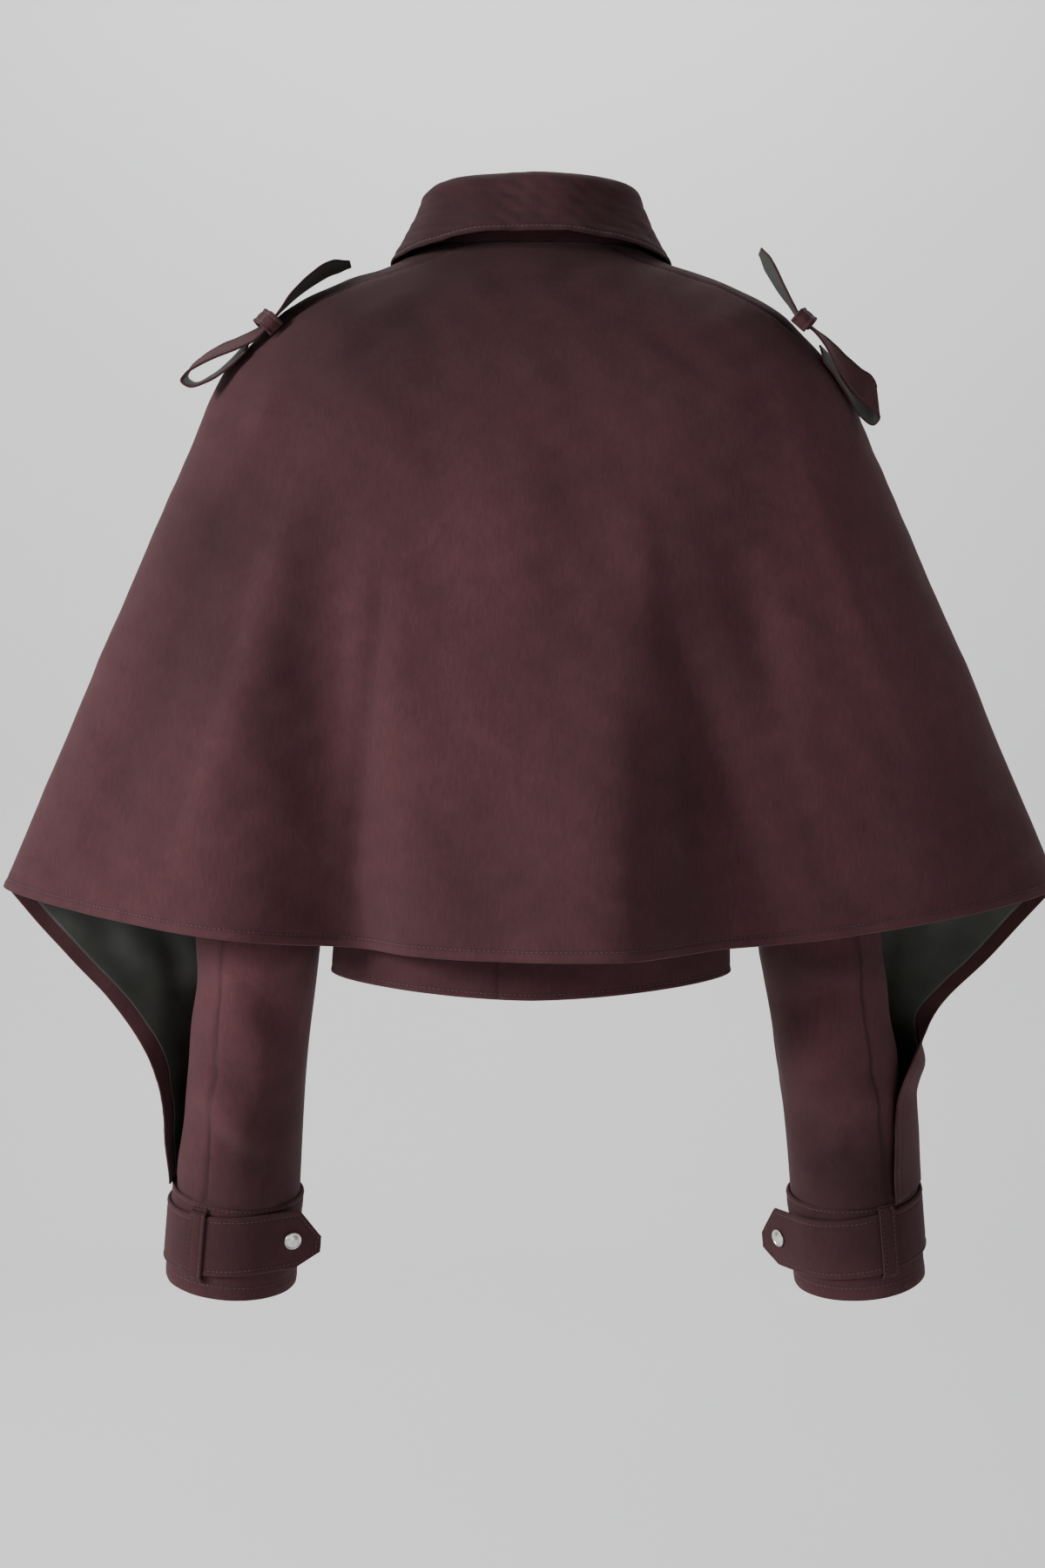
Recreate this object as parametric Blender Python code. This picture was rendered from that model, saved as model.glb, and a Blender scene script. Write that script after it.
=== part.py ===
"""A cropped suede jacket with a cape back, held open in the shape of its wearer.

Units are metres, +Z is up, the jacket faces -Y and the wearer's left is +X.
The origin lies between the shoulders, level with the neck seam at the back.
Every cloth wall is a grid of points on the wall's inner face, thickened outwards.
"""

import math

import bpy
import numpy as np

# ---------------------------------------------------------------- driving dimensions
CLOTH = 0.0016            # bonded suede, one layer
DOUBLE_CLOTH = 0.0022     # two layers sewn together: collar, cuffs, straps
LINING_CLOTH = 0.0010
FACING = 0.013            # suede turned in along the wing's edge
LINING_START = 0.0045     # the lining begins this far from the outer seam
ARM_COLUMNS = 11          # columns of the front panel round the arm
WING_COLUMNS = 7          # and across its lining
SEAM_GAP = 0.0003
HALF_SEAM = 0.0005        # how far each panel stops short of a seam line

TIP_Z = -0.467            # the wings' points
HEM_Z = -0.509            # cape hem at the centre back
UNDERARM_Z = -0.215
CUFF_SEAM_Z = -0.697
CUFF_HEIGHT = 0.072
CUFF_RADIUS = 0.0478
CUFF_TILT = math.radians(9.0)      # the wrist reaches a little forward
CUFF_LEAN = 0.10          # and a little outwards
TILT_START_Z = -0.58      # the sleeve takes up that tilt from here down
CURL_START_Z = -0.555     # the right front panel turns in behind the arm from here down
CURL_CLEAR = 0.0060       # and passes this far outside the sleeve there
STRAP_WIDTH = 0.045
STRAP_DROP = 0.0075  # below the cuff's seam
STRAP_RADIUS = CUFF_RADIUS + DOUBLE_CLOTH + 0.0005
STRAP_TAB = 0.050         # the free end that stands off the cuff
SNAP_ALONG = 0.027        # from where the tab leaves the cuff to its snap
STRAP_RISE = {1: 0.0045, -1: -0.0045}      # how much lower the strap sits outside than inside
TAB_POINT = 0.019         # length of the tab's tapered end
LEAVE = {1: 116.0, -1: 150.0}      # where the tab leaves the cuff, in degrees
CARRIER_TURN = {1: 64.0, -1: 70.0}
SNAP_RADIUS = 0.0068
CARRIER_WIDTH = 0.012
EPAULETTE_WIDTH = 0.031
EPAULETTE_Y = 0.045       # the strip lies just behind the shoulder seam
FRONT_OVERLAP = 0.018
STAND_LEAN = 0.0040       # how far the stand's top leans in over its foot
SIDE_LEAN = 0.0065        # and how much more at the sides of the neck
FALL_ROLL = 0.0075        # half depth of the collar's roll
FALL_FLARE = 0.47         # the fall spreads wider at the sides of the neck
BAND_HEIGHT = 0.0445
BODY_SQUARENESS = 2.2     # exponent of the body's plan
SLEEVE_CLEAR = 0.0018     # the under sleeve stays this far off the front panel at its two seams
LAP_LIFT = 0.0028         # the right front lies this far outside the left one

# ---------------------------------------------------------------- short tables
# Overarm seam, neck to wing tip: x, y, z
OVERARM = [
    (0.0805, 0.003, 0.0045),
    (0.1040, 0.003, -0.0080),
    (0.1380, 0.002, -0.0195),
    (0.1820, 0.001, -0.0420),
    (0.2060, 0.001, -0.0660),
    (0.2280, 0.000, -0.0900),
    (0.2375, 0.000, -0.1080),
    (0.2440, -0.001, -0.1250),
    (0.2830, -0.005, -0.2100),
    (0.3410, -0.011, -0.3420),
    (0.3960, -0.018, -0.4670),
]
# Cape at the centre back, neck seam to hem: y, z
CAPE_CENTRE = [
    (0.0570, -0.001),
    (0.0780, -0.030),
    (0.0970, -0.070),
    (0.1130, -0.120),
    (0.1270, -0.190),
    (0.1360, -0.270),
    (0.1450, -0.360),
    (0.1530, -0.450),
    (0.1570, -0.509),
]
# How square each cape row is in plan: share of the way down, exponent
CAPE_SQUARENESS = [
    (0.00, 2.00),
    (0.30, 2.45),
    (0.60, 2.05),
    (1.00, 1.72),
]
# Large folds of the cape. depth > 0 stands out; spreads are towards +X and towards -X
# name, top x, top z, hem x, depth at the hem, spread +X, spread -X
CAPE_FOLDS = [
    ("left flank ridge", 0.166, -0.150, 0.236, 0.014, 0.060, 0.050),
    ("left valley", 0.140, -0.165, 0.125, -0.050, 0.052, 0.036),
    ("centre ridge", -0.050, -0.200, -0.060, 0.030, 0.070, 0.034),
    ("right valley", -0.085, -0.215, -0.140, -0.030, 0.034, 0.050),
    ("right flank hollow", -0.190, -0.260, -0.255, -0.010, 0.050, 0.060),
]
# Where the cloth rests on the shoulder blades: x, z, height, radius
CAPE_BLADES = [
    (0.118, -0.128, 0.007, 0.045),
    (-0.118, -0.132, 0.004, 0.050),
]
# Sleeve tube: z, centre x, centre y, half width, half depth, seam angle from the front
# The seam angle says where the armhole (above) or the inner arm seam (below) crosses.
ARM = [
    (-0.046, 0.1730, 0.001, 0.0090, 0.0100, 4.0),
    (-0.060, 0.1710, 0.001, 0.0210, 0.0300, 8.0),
    (-0.082, 0.1740, 0.001, 0.0370, 0.0510, 18.0),
    (-0.120, 0.1820, 0.001, 0.0500, 0.0660, 32.0),
    (-0.165, 0.1900, 0.002, 0.0480, 0.0660, 58.0),
    (-0.215, 0.1975, 0.003, 0.0440, 0.0620, 90.0),
    (-0.350, 0.2000, 0.002, 0.0450, 0.0580, 90.0),
    (-0.500, 0.2030, -0.001, 0.0445, 0.0540, 90.0),
    (-0.600, 0.2140, -0.018, 0.0430, 0.0520, 90.0),
    (-0.705, 0.2250, -0.044, 0.0455, 0.0490, 90.0),
]
# How much further out the right arm is held: z, extra x
RIGHT_ARM_OUT = [
    (-0.046, 0.000),
    (-0.300, 0.004),
    (-0.500, 0.012),
    (-0.705, 0.022),
    (-0.790, 0.023),
]
# Outer edge of each wing below its tip: z, left x, right x
WING_HEM = [
    (-0.467, 0.3960, 0.3960),
    (-0.490, 0.3760, 0.3740),
    (-0.521, 0.3470, 0.3443),
    (-0.550, 0.3185, 0.3130),
    (-0.580, 0.2960, 0.2890),
    (-0.616, 0.2800, 0.2720),
    (-0.665, 0.2755, 0.2690),
    (-0.705, 0.2735, 0.2720),
]
SHOULDER_SHARE = 0.172    # how far down the overarm seam the shoulder seam ends
# Side seam of the body, underarm to hem band: x, y, z
SIDE_SEAM = [
    (0.1490, 0.010, -0.219),
    (0.1440, 0.012, -0.300),
    (0.1410, 0.012, -0.400),
    (0.1440, 0.012, -0.4830),
]
BODY_BACK_CENTRE = [
    (0.0530, -0.0065),
    (0.0730, -0.040),
    (0.0900, -0.085),
    (0.1010, -0.140),
    (0.1080, -0.220),
    (0.1060, -0.320),
    (0.1050, -0.420),
    (0.1110, -0.4955),
]
BODY_FRONT_CENTRE = [
    (-0.0620, -0.0660),
    (-0.0720, -0.090),
    (-0.0880, -0.130),
    (-0.1030, -0.190),
    (-0.1050, -0.260),
    (-0.1010, -0.360),
    (-0.1010, -0.430),
    (-0.1050, -0.4900),
]
# Collar around the neck: degrees from the centre back, x, y, foot z, top z
NECK = [
    (0, 0.0000, 0.0550, 0.0000, 0.0455),
    (30, 0.0400, 0.0480, 0.0010, 0.0455),
    (60, 0.0680, 0.0270, 0.0040, 0.0460),
    (90, 0.0775, -0.0040, 0.0030, 0.0450),
    (120, 0.0640, -0.0330, -0.0190, 0.0270),
    (150, 0.0370, -0.0530, -0.0450, 0.0000),
    (176, 0.0050, -0.0600, -0.0590, -0.0190),
]
# Collar fall, from its sewn edge over the roll to its outer edge: out, up
FALL_SECTION = [
    (0.0004, 0.0006),
    (0.0030, 0.0046),
    (0.0075, 0.0030),
    (0.0150, -0.0150),
    (0.0215, -0.0330),
    (0.0272, -0.0462),
]
# Epaulette strip from its free tip to its sewn end: x, z, roll in degrees
EPAULETTE_LEFT = [
    (0.1316, -0.0129, 4),
    (0.1448, -0.0154, 3),
    (0.1587, -0.0236, 0),
    (0.1735, -0.0365, -8),
    (0.1830, -0.0480, -18),
    (0.1905, -0.0562, -24),
    (0.1990, -0.0632, -28),
    (0.2137, -0.0704, -28),
    (0.2276, -0.0761, -27),
    (0.2390, -0.0824, -24),
    (0.2491, -0.0905, -19),
    (0.2520, -0.0960, -16),
    (0.2475, -0.0998, -15),
    (0.2340, -0.0958, -19),
    (0.2205, -0.0862, -24),
    (0.2115, -0.0775, -27),
    (0.2060, -0.0722, -28),
]
EPAULETTE_RIGHT = [
    (0.1660, -0.0034, 4),
    (0.1735, -0.0160, 3),
    (0.1818, -0.0312, -4),
    (0.1893, -0.0438, -14),
    (0.1955, -0.0535, -18),
    (0.2035, -0.0595, -20),
    (0.2114, -0.0672, -28),
    (0.2209, -0.0800, -48),
    (0.2300, -0.0915, -60),
    (0.2400, -0.1010, -64),
    (0.2480, -0.1070, -64),
    (0.2512, -0.1125, -60),
    (0.2470, -0.1185, -54),
    (0.2380, -0.1135, -50),
    (0.2270, -0.0985, -42),
    (0.2170, -0.0845, -36),
    (0.2110, -0.0775, -33),
]
KEEPER_X = {1: 0.1905, -1: 0.1965}    # where the strip passes under its loop
KEEPER_LENGTH = 0.012     # along the strip

# ---------------------------------------------------------------- curve tools


def along(rows, key):
    """Every other column of the rows at this value of the first column, on a smooth curve."""
    table = np.array(rows, float)
    keys, values = table[:, 0], table[:, 1:]
    if keys[0] > keys[-1]:
        keys, values = keys[::-1], values[::-1]
    slopes = np.gradient(values, keys, axis=0)
    key = min(max(key, keys[0]), keys[-1])
    i = min(max(int(np.searchsorted(keys, key)) - 1, 0), len(keys) - 2)
    gap = keys[i + 1] - keys[i]
    t = (key - keys[i]) / gap
    start = values[i] * (2 * t**3 - 3 * t**2 + 1) + slopes[i] * gap * (t**3 - 2 * t**2 + t)
    return start + values[i + 1] * (3 * t**2 - 2 * t**3) + slopes[i + 1] * gap * (t**3 - t**2)


def lengths(points):
    steps = np.linalg.norm(np.diff(points, axis=0), axis=1)
    return np.concatenate([[0.0], np.cumsum(steps)])


def path(points, share):
    """The point this share of the way along a smooth curve through the points."""
    points = np.array(points, float)
    keys = lengths(points)
    rows = np.column_stack([keys, points])
    return along(rows, share * keys[-1])


def evenly(points, count):
    """The same polyline with count points, evenly spaced."""
    keys = lengths(points)
    wanted = np.linspace(0.0, keys[-1], count)
    return np.column_stack([np.interp(wanted, keys, points[:, k]) for k in range(3)])


def ease(t):
    t = min(max(t, 0.0), 1.0)
    return t * t * (3 - 2 * t)


def bezier(p0, p1, p2, p3, count):
    t = np.linspace(0.0, 1.0, count)[:, None]
    return (1 - t) ** 3 * p0 + 3 * (1 - t) ** 2 * t * p1 + 3 * (1 - t) * t**2 * p2 + t**3 * p3


# ---------------------------------------------------------------- solids


def material(name, colour, roughness, metallic=0.0):
    made = bpy.data.materials.new(name)
    made.use_nodes = True
    shader = made.node_tree.nodes["Principled BSDF"]
    shader.inputs["Base Color"].default_value = (*colour, 1.0)
    shader.inputs["Roughness"].default_value = roughness
    shader.inputs["Metallic"].default_value = metallic
    return made


def wall(name, grid, cloth, finish, closed=False, outward=1.0):
    """A cloth wall: a grid of rows of points, thickened by a Solidify modifier."""
    rows, columns = grid.shape[:2]
    mesh = bpy.data.meshes.new(name)
    faces = []
    for r in range(rows - 1):
        for c in range(columns if closed else columns - 1):
            d = (c + 1) % columns
            faces.append((r * columns + c, (r + 1) * columns + c, (r + 1) * columns + d, r * columns + d))
    mesh.from_pydata(grid.reshape(-1, 3).tolist(), [], faces)
    mesh.update()
    mesh.shade_smooth()
    mesh.materials.append(finish)
    made = bpy.data.objects.new(name, mesh)
    bpy.context.collection.objects.link(made)
    thick = made.modifiers.new("cloth", "SOLIDIFY")
    thick.thickness = cloth
    thick.offset = outward
    thick.use_even_offset = False
    return made


def side_name(name, side):
    return name + ("_left" if side > 0 else "_right")


def mirrored(grid, side):
    """The grid for the wearer's left, or its mirror image with the faces still turned outwards."""
    if side > 0:
        return grid
    return (grid * np.array([-1.0, 1.0, 1.0]))[:, ::-1]


# ---------------------------------------------------------------- cape


def cape_fold_depth(x, z):
    depth = 0.0
    for _name, top_x, top_z, hem_x, hem_depth, out_plus, out_minus in CAPE_FOLDS:
        down = (top_z - z) / (top_z - HEM_Z)
        if down <= 0.0:
            continue
        away = x - (top_x + (hem_x - top_x) * down)
        spread = (out_plus if away > 0 else out_minus) * (0.45 + 0.55 * ease(down))
        depth += hem_depth * ease(down * 0.9) * math.exp(-((away / spread) ** 2))
    for blade_x, blade_z, height, radius in CAPE_BLADES:
        apart = ((x - blade_x) ** 2 + (z - blade_z) ** 2) / radius**2
        depth += height * math.exp(-apart)
    return depth


def cape_row(share):
    """One row of the cape from the left overarm seam across the back to the right one."""
    edge_x, edge_y, edge_z = path(OVERARM, share)
    back_y, back_z = path(CAPE_CENTRE, share)
    power = along(CAPE_SQUARENESS, share)[0]
    points = []
    for angle in np.linspace(-0.5 * math.pi, 0.5 * math.pi, 121):
        across = math.copysign(abs(math.sin(angle)) ** (2 / power), math.sin(angle))
        out = math.cos(angle) ** (2 / power) if abs(angle) < 0.4999 * math.pi else 0.0
        x = -edge_x * across
        y = edge_y + HALF_SEAM + (back_y - edge_y - HALF_SEAM) * out
        z = back_z + (edge_z - back_z) * abs(across) ** 2.0
        y += cape_fold_depth(x, z) * (1 - abs(across) ** 5)
        points.append((x, y, z))
    return np.array(points)


def cape_grid(rows, columns):
    return np.array([evenly(cape_row(share), columns) for share in np.linspace(0, 1, rows)])


# ---------------------------------------------------------------- sleeves and wings


def arm_section(z, side):
    """Centre x, centre y, half width, half depth and seam angle of the sleeve at this height."""
    x, y, half, deep, seam = along(ARM, z)
    if side < 0:
        x += along(RIGHT_ARM_OUT, z)[0]
    return x, y, half, deep, min(seam, 90.0)


def arm_point(z, side, degrees):
    """A point of the sleeve tube: 0 is outwards, 90 the back, 180 the body, 270 the front."""
    x, y, half, deep, _seam = arm_section(z, side)
    turn = math.radians(degrees)
    return np.array([x + half * math.cos(turn), y + deep * math.sin(turn), z])


def sleeve_tilt(point, z, side):
    """Lowers the back of the lowest rows, so that they meet the tilted cuff."""
    share = ease((z - TILT_START_Z) / (CUFF_SEAM_Z - TILT_START_Z))
    x, y = arm_section(z, side)[:2]
    lowered = np.array(point)
    lowered[..., 2] -= share * math.tan(CUFF_TILT) * (lowered[..., 1] - y)
    lowered[..., 2] += share * CUFF_LEAN * (lowered[..., 0] - x)
    return lowered


def armhole_gap(z):
    """How far a sleeve panel stays off the body's edge: side by side below, edge to edge above."""
    return 0.0034 + 0.0018 * ease((z + 0.08) / (UNDERARM_Z + 0.08))


def overarm_at(z):
    """x and y of the overarm seam at this height."""
    seam = np.array([path(OVERARM, share) for share in np.linspace(1.0, 0.0, 300)])
    return np.interp(z, seam[:, 2], seam[:, 0]), np.interp(z, seam[:, 2], seam[:, 1])


def turned_in(z, side):
    """How far the front panel's edge is turned in behind the arm: the right one is, low down."""
    return ease((CURL_START_Z - z) / 0.050) if side < 0 else 0.0


def wing_edge(z, side):
    """Outer edge of the front panel: on the overarm seam, then along its own hem to the cuff."""
    x, y, half, deep, _seam = arm_section(z, side)
    if z >= TIP_Z:
        edge_x, edge_y = overarm_at(z)
        return np.array([edge_x, edge_y - HALF_SEAM, z])
    edge_x = along(WING_HEM, z)[0 if side > 0 else 1]
    down = ease((TIP_Z - z) / (TIP_Z - CUFF_SEAM_Z))
    curl = turned_in(z, side)
    flat = np.array([max(edge_x, x + half), -0.018 + (y + 0.012 + 0.018) * down, z])
    round_x = min((edge_x - x) / (half + CURL_CLEAR), 1.0)
    behind = max(0.041, (deep + CURL_CLEAR) * math.sqrt(1.0 - round_x**2))
    return flat + (np.array([edge_x, y + behind, z]) - flat) * curl


def wing_row(z, side):
    """Front panel at one height: from the armhole or inner seam round the arm's front to the edge."""
    x, y, half, deep, seam = arm_section(z, side)
    start, leave = 270.0 - seam, 288.0
    arc = np.array([arm_point(z, side, a) for a in np.linspace(start, leave, 24)])
    arc[:, 0] += armhole_gap(z) * np.linspace(1.0, 0.0, 24) ** 2
    edge = wing_edge(z, side)
    turn = math.radians(leave)
    away = np.array([-half * math.sin(turn), deep * math.cos(turn), 0.0])
    away /= np.linalg.norm(away)
    spare = ease((edge[0] - (x + half)) / 0.050)
    curl = turned_in(z, side)
    arrive = np.array([spare - 0.80 * curl, 0.25 + 0.75 * (1 - spare), 0.0])
    arrive /= np.linalg.norm(arrive)
    apart = np.linalg.norm(edge - arc[-1])
    leaving = arc[-1] + away * (0.38 + 0.17 * curl) * apart
    curve = bezier(arc[-1], leaving, edge - arrive * (0.38 + 0.24 * curl) * apart, edge, 24)
    return np.vstack([arc, curve[1:]])


def wing_columns(z, side):
    """The wing row on its columns: first seam, outer seam and edge, with the lining's two edges."""
    fine = evenly(wing_row(z, side), 400)
    x, _y, half, _deep, _seam = arm_section(z, side)
    keys = lengths(fine)
    beyond = np.nonzero(fine[:, 0] > x + 0.80 * half)[0]
    sewn = keys[beyond[0]] if len(beyond) else keys[-1] - 0.022
    sewn = min(sewn, keys[-1] - 0.018)
    first = np.linspace(0.0, sewn, ARM_COLUMNS)
    lined = np.linspace(sewn + LINING_START, keys[-1] - FACING, WING_COLUMNS)
    wanted = np.concatenate([first, lined, [keys[-1]]])
    return np.column_stack([np.interp(wanted, keys, fine[:, k]) for k in range(3)])


def wing_grid(side, heights):
    return np.array([sleeve_tilt(wing_columns(z, side), z, side) for z in heights])


def inward_at(row, index):
    """Level direction from a point of a wing row towards the back of the wing."""
    run = row[index + 1] - row[index - 1]
    inward = np.array([-run[1], run[0], 0.0])
    return inward / np.linalg.norm(inward)


def under_row(z, side, columns):
    """Under sleeve at one height: from the outer seam round the arm's back to the body side."""
    _x, _y, half, deep, seam = arm_section(z, side)
    front = wing_columns(z, side)
    inward = inward_at(front, ARM_COLUMNS - 1)
    seam_end = front[ARM_COLUMNS - 1] + inward * SLEEVE_CLEAR
    arc = np.array([arm_point(z, side, a) for a in np.linspace(22.0, 90.0 + seam, 40)])
    arc[:, 0] += armhole_gap(z) * np.linspace(0.0, 1.0, 40) ** 2
    arc[-1, 1] += SLEEVE_CLEAR
    turn = math.radians(22.0)
    away = np.array([half * math.sin(turn), -deep * math.cos(turn), 0.0])
    away /= np.linalg.norm(away)
    reach = 0.36 * np.linalg.norm(seam_end - arc[0])
    curve = bezier(seam_end, seam_end + inward * reach, arc[0] + away * reach, arc[0], 16)
    return evenly(np.vstack([curve[:-1], arc]), columns)


def under_grid(side, heights, columns):
    return np.array([sleeve_tilt(under_row(z, side, columns), z, side) for z in heights])


def lining_grid(side, heights):
    """Lining inside the wing, made from the wing's own points moved inwards."""
    rows = []
    for z in heights:
        row = wing_columns(z, side)
        lined = [row[i] + inward_at(row, i) * 0.0007 for i in range(ARM_COLUMNS, len(row) - 1)]
        rows.append(sleeve_tilt(np.array(lined), z, side))
    return np.array(rows)


# ---------------------------------------------------------------- body


def body_edge(share, back):
    """Edge of a body panel: shoulder seam, armhole and side seam, a share of the way down."""
    if share < 0.22:
        x, y, z = path(OVERARM, SHOULDER_SHARE * share / 0.22)
        return np.array([x, y + 0.002, z - 0.0065]) if back else np.array([x, y - HALF_SEAM, z])
    if share < 0.5:
        t = (share - 0.22) / 0.28
        z = -0.046 + (UNDERARM_Z + 0.046) * t
        seam = arm_section(z, 1)[4]
        point = arm_point(z, 1, 90.0 + seam if back else 270.0 - seam)
        low = -0.0065 * (1 - t) if back else 0.0
        side = HALF_SEAM if back else -HALF_SEAM
        return point + np.array([0.0, side, low])
    x, y, z = path(SIDE_SEAM, (share - 0.5) / 0.5)
    return np.array([x, y + (HALF_SEAM if back else -HALF_SEAM), z])


def body_row(share, back):
    """Half a body row, from its side edge to the centre; a front runs on past it."""
    edge = body_edge(share, back)
    y, z = path(BODY_BACK_CENTRE if back else BODY_FRONT_CENTRE, share)
    points = []
    for angle in np.linspace(0.0, 0.5 * math.pi, 60):
        across = math.cos(angle) ** (2 / BODY_SQUARENESS) if angle < 0.4999 * math.pi else 0.0
        out = math.sin(angle) ** (2 / BODY_SQUARENESS)
        points.append((edge[0] * across, edge[1] + (y - edge[1]) * out, z + (edge[2] - z) * across**1.6))
    if not back:
        points += [(-x, y, z) for x, y, z in points[-2::-1] if x < FRONT_OVERLAP]
    return np.array(points)


def body_back_grid(shares, columns):
    """Rows from the left edge across the back to the right edge."""
    rows = []
    for share in shares:
        half = body_row(share, True)
        other = (half * np.array([-1.0, 1.0, 1.0]))[::-1]
        rows.append(evenly(np.vstack([half, other[1:]]), columns))
    return np.array(rows)


def lap(points, side):
    """Lifts the right front over the left one near the centre."""
    if side > 0:
        return points
    lifted = np.array(points)
    near = np.clip((0.060 - lifted[..., 0]) / 0.040, 0.0, 1.0)
    lifted[..., 1] -= LAP_LIFT * near * near * (3 - 2 * near)
    return lifted


def body_front_grid(side, shares, columns):
    """Rows from the side edge to the front edge, which passes the centre by the overlap."""
    rows = [lap(evenly(body_row(share, False), columns), side) for share in shares]
    return np.array(rows)[:, ::-1]


def hem_band_grid(columns):
    """The band below the body: left front edge, round the back, to the right front edge."""
    front = body_row(1.0, False)
    half = body_row(1.0, True)
    mirror = np.array([-1.0, 1.0, 1.0])
    round_back = np.vstack([half, (half * mirror)[::-1][1:]])
    last = lap(front, -1) * mirror
    line = np.vstack([front[::-1], round_back, last])
    top = evenly(line, columns)
    top[:, 2] -= SEAM_GAP + 0.0002
    low = np.array(top)
    low[:, 2] -= BAND_HEIGHT
    low[:, :2] *= 1.012
    return np.array([top, (top + low) / 2, low])


# ---------------------------------------------------------------- collar


def neck_at(degrees):
    """x, y, foot z and top z of the collar stand, this far round from the centre back."""
    x, y, foot, top = along(NECK, abs(degrees))
    return math.copysign(x, degrees) if degrees else 0.0, y, foot, top


def neck_frame(degrees):
    """The neck line's point there, and the level direction straight out of it."""
    x, y, foot, top = neck_at(degrees)
    ahead, behind = neck_at(degrees + 2.0), neck_at(degrees - 2.0)
    run = np.array([ahead[0] - behind[0], ahead[1] - behind[1]])
    run /= np.linalg.norm(run)
    return np.array([x, y]), np.array([-run[1], run[0]]), foot, top


def at_sides(degrees):
    """1 at the sides of the neck, fading to the back and the front."""
    return math.exp(-(((abs(degrees) - 90.0) / 45.0) ** 2))


def stand_grid(columns):
    rows = []
    for up in (0.0, 0.5, 1.0):
        row = []
        for degrees in np.linspace(172.0, -172.0, columns):
            at, out, foot, top = neck_frame(degrees)
            place = at - out * (STAND_LEAN + SIDE_LEAN * at_sides(degrees)) * up
            row.append((place[0], place[1], foot + 0.0012 + (top - foot - 0.0012) * up))
        rows.append(row)
    return np.array(rows)[::-1]


def fall_grid(columns, section):
    rows = []
    for share in np.linspace(0.0, 1.0, section):
        row = []
        for degrees in np.linspace(170.0, -170.0, columns):
            at, out, _foot, top = neck_frame(degrees)
            outward, upward = path(FALL_SECTION, share)
            pointed = 0.90 + 0.17 * ease(abs(degrees) / 80.0)
            pointed += 0.23 * ease((abs(degrees) - 125.0) / 45.0)
            outward += FALL_FLARE * max(outward - FALL_ROLL, 0.0) * at_sides(degrees)
            place = at + out * (outward - STAND_LEAN - SIDE_LEAN * at_sides(degrees))
            row.append((place[0], place[1], top + upward * (pointed if upward < 0 else 1.0)))
        rows.append(row)
    return np.array(rows)


# ---------------------------------------------------------------- cuffs


def cuff_frame(side):
    """Centre of the cuff's top, and its outward, backward and downward directions."""
    x, y, _half, _deep, _seam = arm_section(CUFF_SEAM_Z, side)
    down = np.array([CUFF_LEAN, -math.sin(CUFF_TILT), -math.cos(CUFF_TILT)])
    down /= np.linalg.norm(down)
    back = np.array([0.0, math.cos(CUFF_TILT), -math.sin(CUFF_TILT)])
    out = np.cross(back, down)
    out *= math.copysign(1.0, out[0])
    return np.array([x, y, CUFF_SEAM_Z - 0.0006]), out, back, down


def cuff_point(side, degrees, radius, drop):
    centre, out, back, down = cuff_frame(side)
    turn = math.radians(degrees)
    return centre + out * radius * math.cos(turn) + back * radius * math.sin(turn) + down * drop


def cuff_grid(side, columns):
    rows = []
    for drop in np.linspace(0.0, CUFF_HEIGHT, 3):
        turns = np.linspace(0.0, 360.0, columns, endpoint=False)
        rows.append([cuff_point(side, degrees, CUFF_RADIUS, drop) for degrees in turns])
    return np.array(rows)


def strap_centre(side):
    """Level path of the cuff strap: from the front of the cuff, outside, back, and off as a tab."""
    turns = np.linspace(-128.0, LEAVE[side], 26)
    line = [(STRAP_RADIUS * math.cos(math.radians(t)), STRAP_RADIUS * math.sin(math.radians(t))) for t in turns]
    turn = math.radians(LEAVE[side])
    away = np.array([-math.sin(turn), math.cos(turn)])
    for step in (0.2, 0.4, 0.6, 0.8, 1.0):
        line.append(tuple(np.array(line[25]) + away * STRAP_TAB * step))
    return np.array(line)


def strap_middle(side, u):
    """How far below the cuff's seam the strap's middle runs; it sits a little askew."""
    return STRAP_DROP + 0.5 * STRAP_WIDTH + STRAP_RISE[side] * u / STRAP_RADIUS


def strap_grid(side):
    centre, out, back, down = cuff_frame(side)
    line = strap_centre(side)
    run = lengths(line)
    rows = []
    for part in (0.0, 0.5, 1.0):
        row = []
        for (u, v), travelled in zip(line, run):
            pointed = max(1.0 - (run[-1] - travelled) / TAB_POINT, 0.0)
            narrow = 0.5 * STRAP_WIDTH * (1.0 - 0.74 * pointed)
            drop = strap_middle(side, u) + 0.007 * pointed + (part * 2 - 1) * narrow
            row.append(centre + out * u + back * v + down * drop)
        rows.append(row)
    return np.array(rows)


def snap_place(side):
    """Middle of the snap on the tab's outer face, and the direction it faces."""
    centre, out, back, down = cuff_frame(side)
    turn = math.radians(LEAVE[side])
    face = out * math.cos(turn) + back * math.sin(turn)
    away = out * -math.sin(turn) + back * math.cos(turn)
    start = centre + out * STRAP_RADIUS * math.cos(turn) + back * STRAP_RADIUS * math.sin(turn)
    drop = strap_middle(side, STRAP_RADIUS * math.cos(turn) - SNAP_ALONG * math.sin(turn))
    return start + away * SNAP_ALONG + down * drop + face * (DOUBLE_CLOTH + 0.0004), face, away, down


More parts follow.
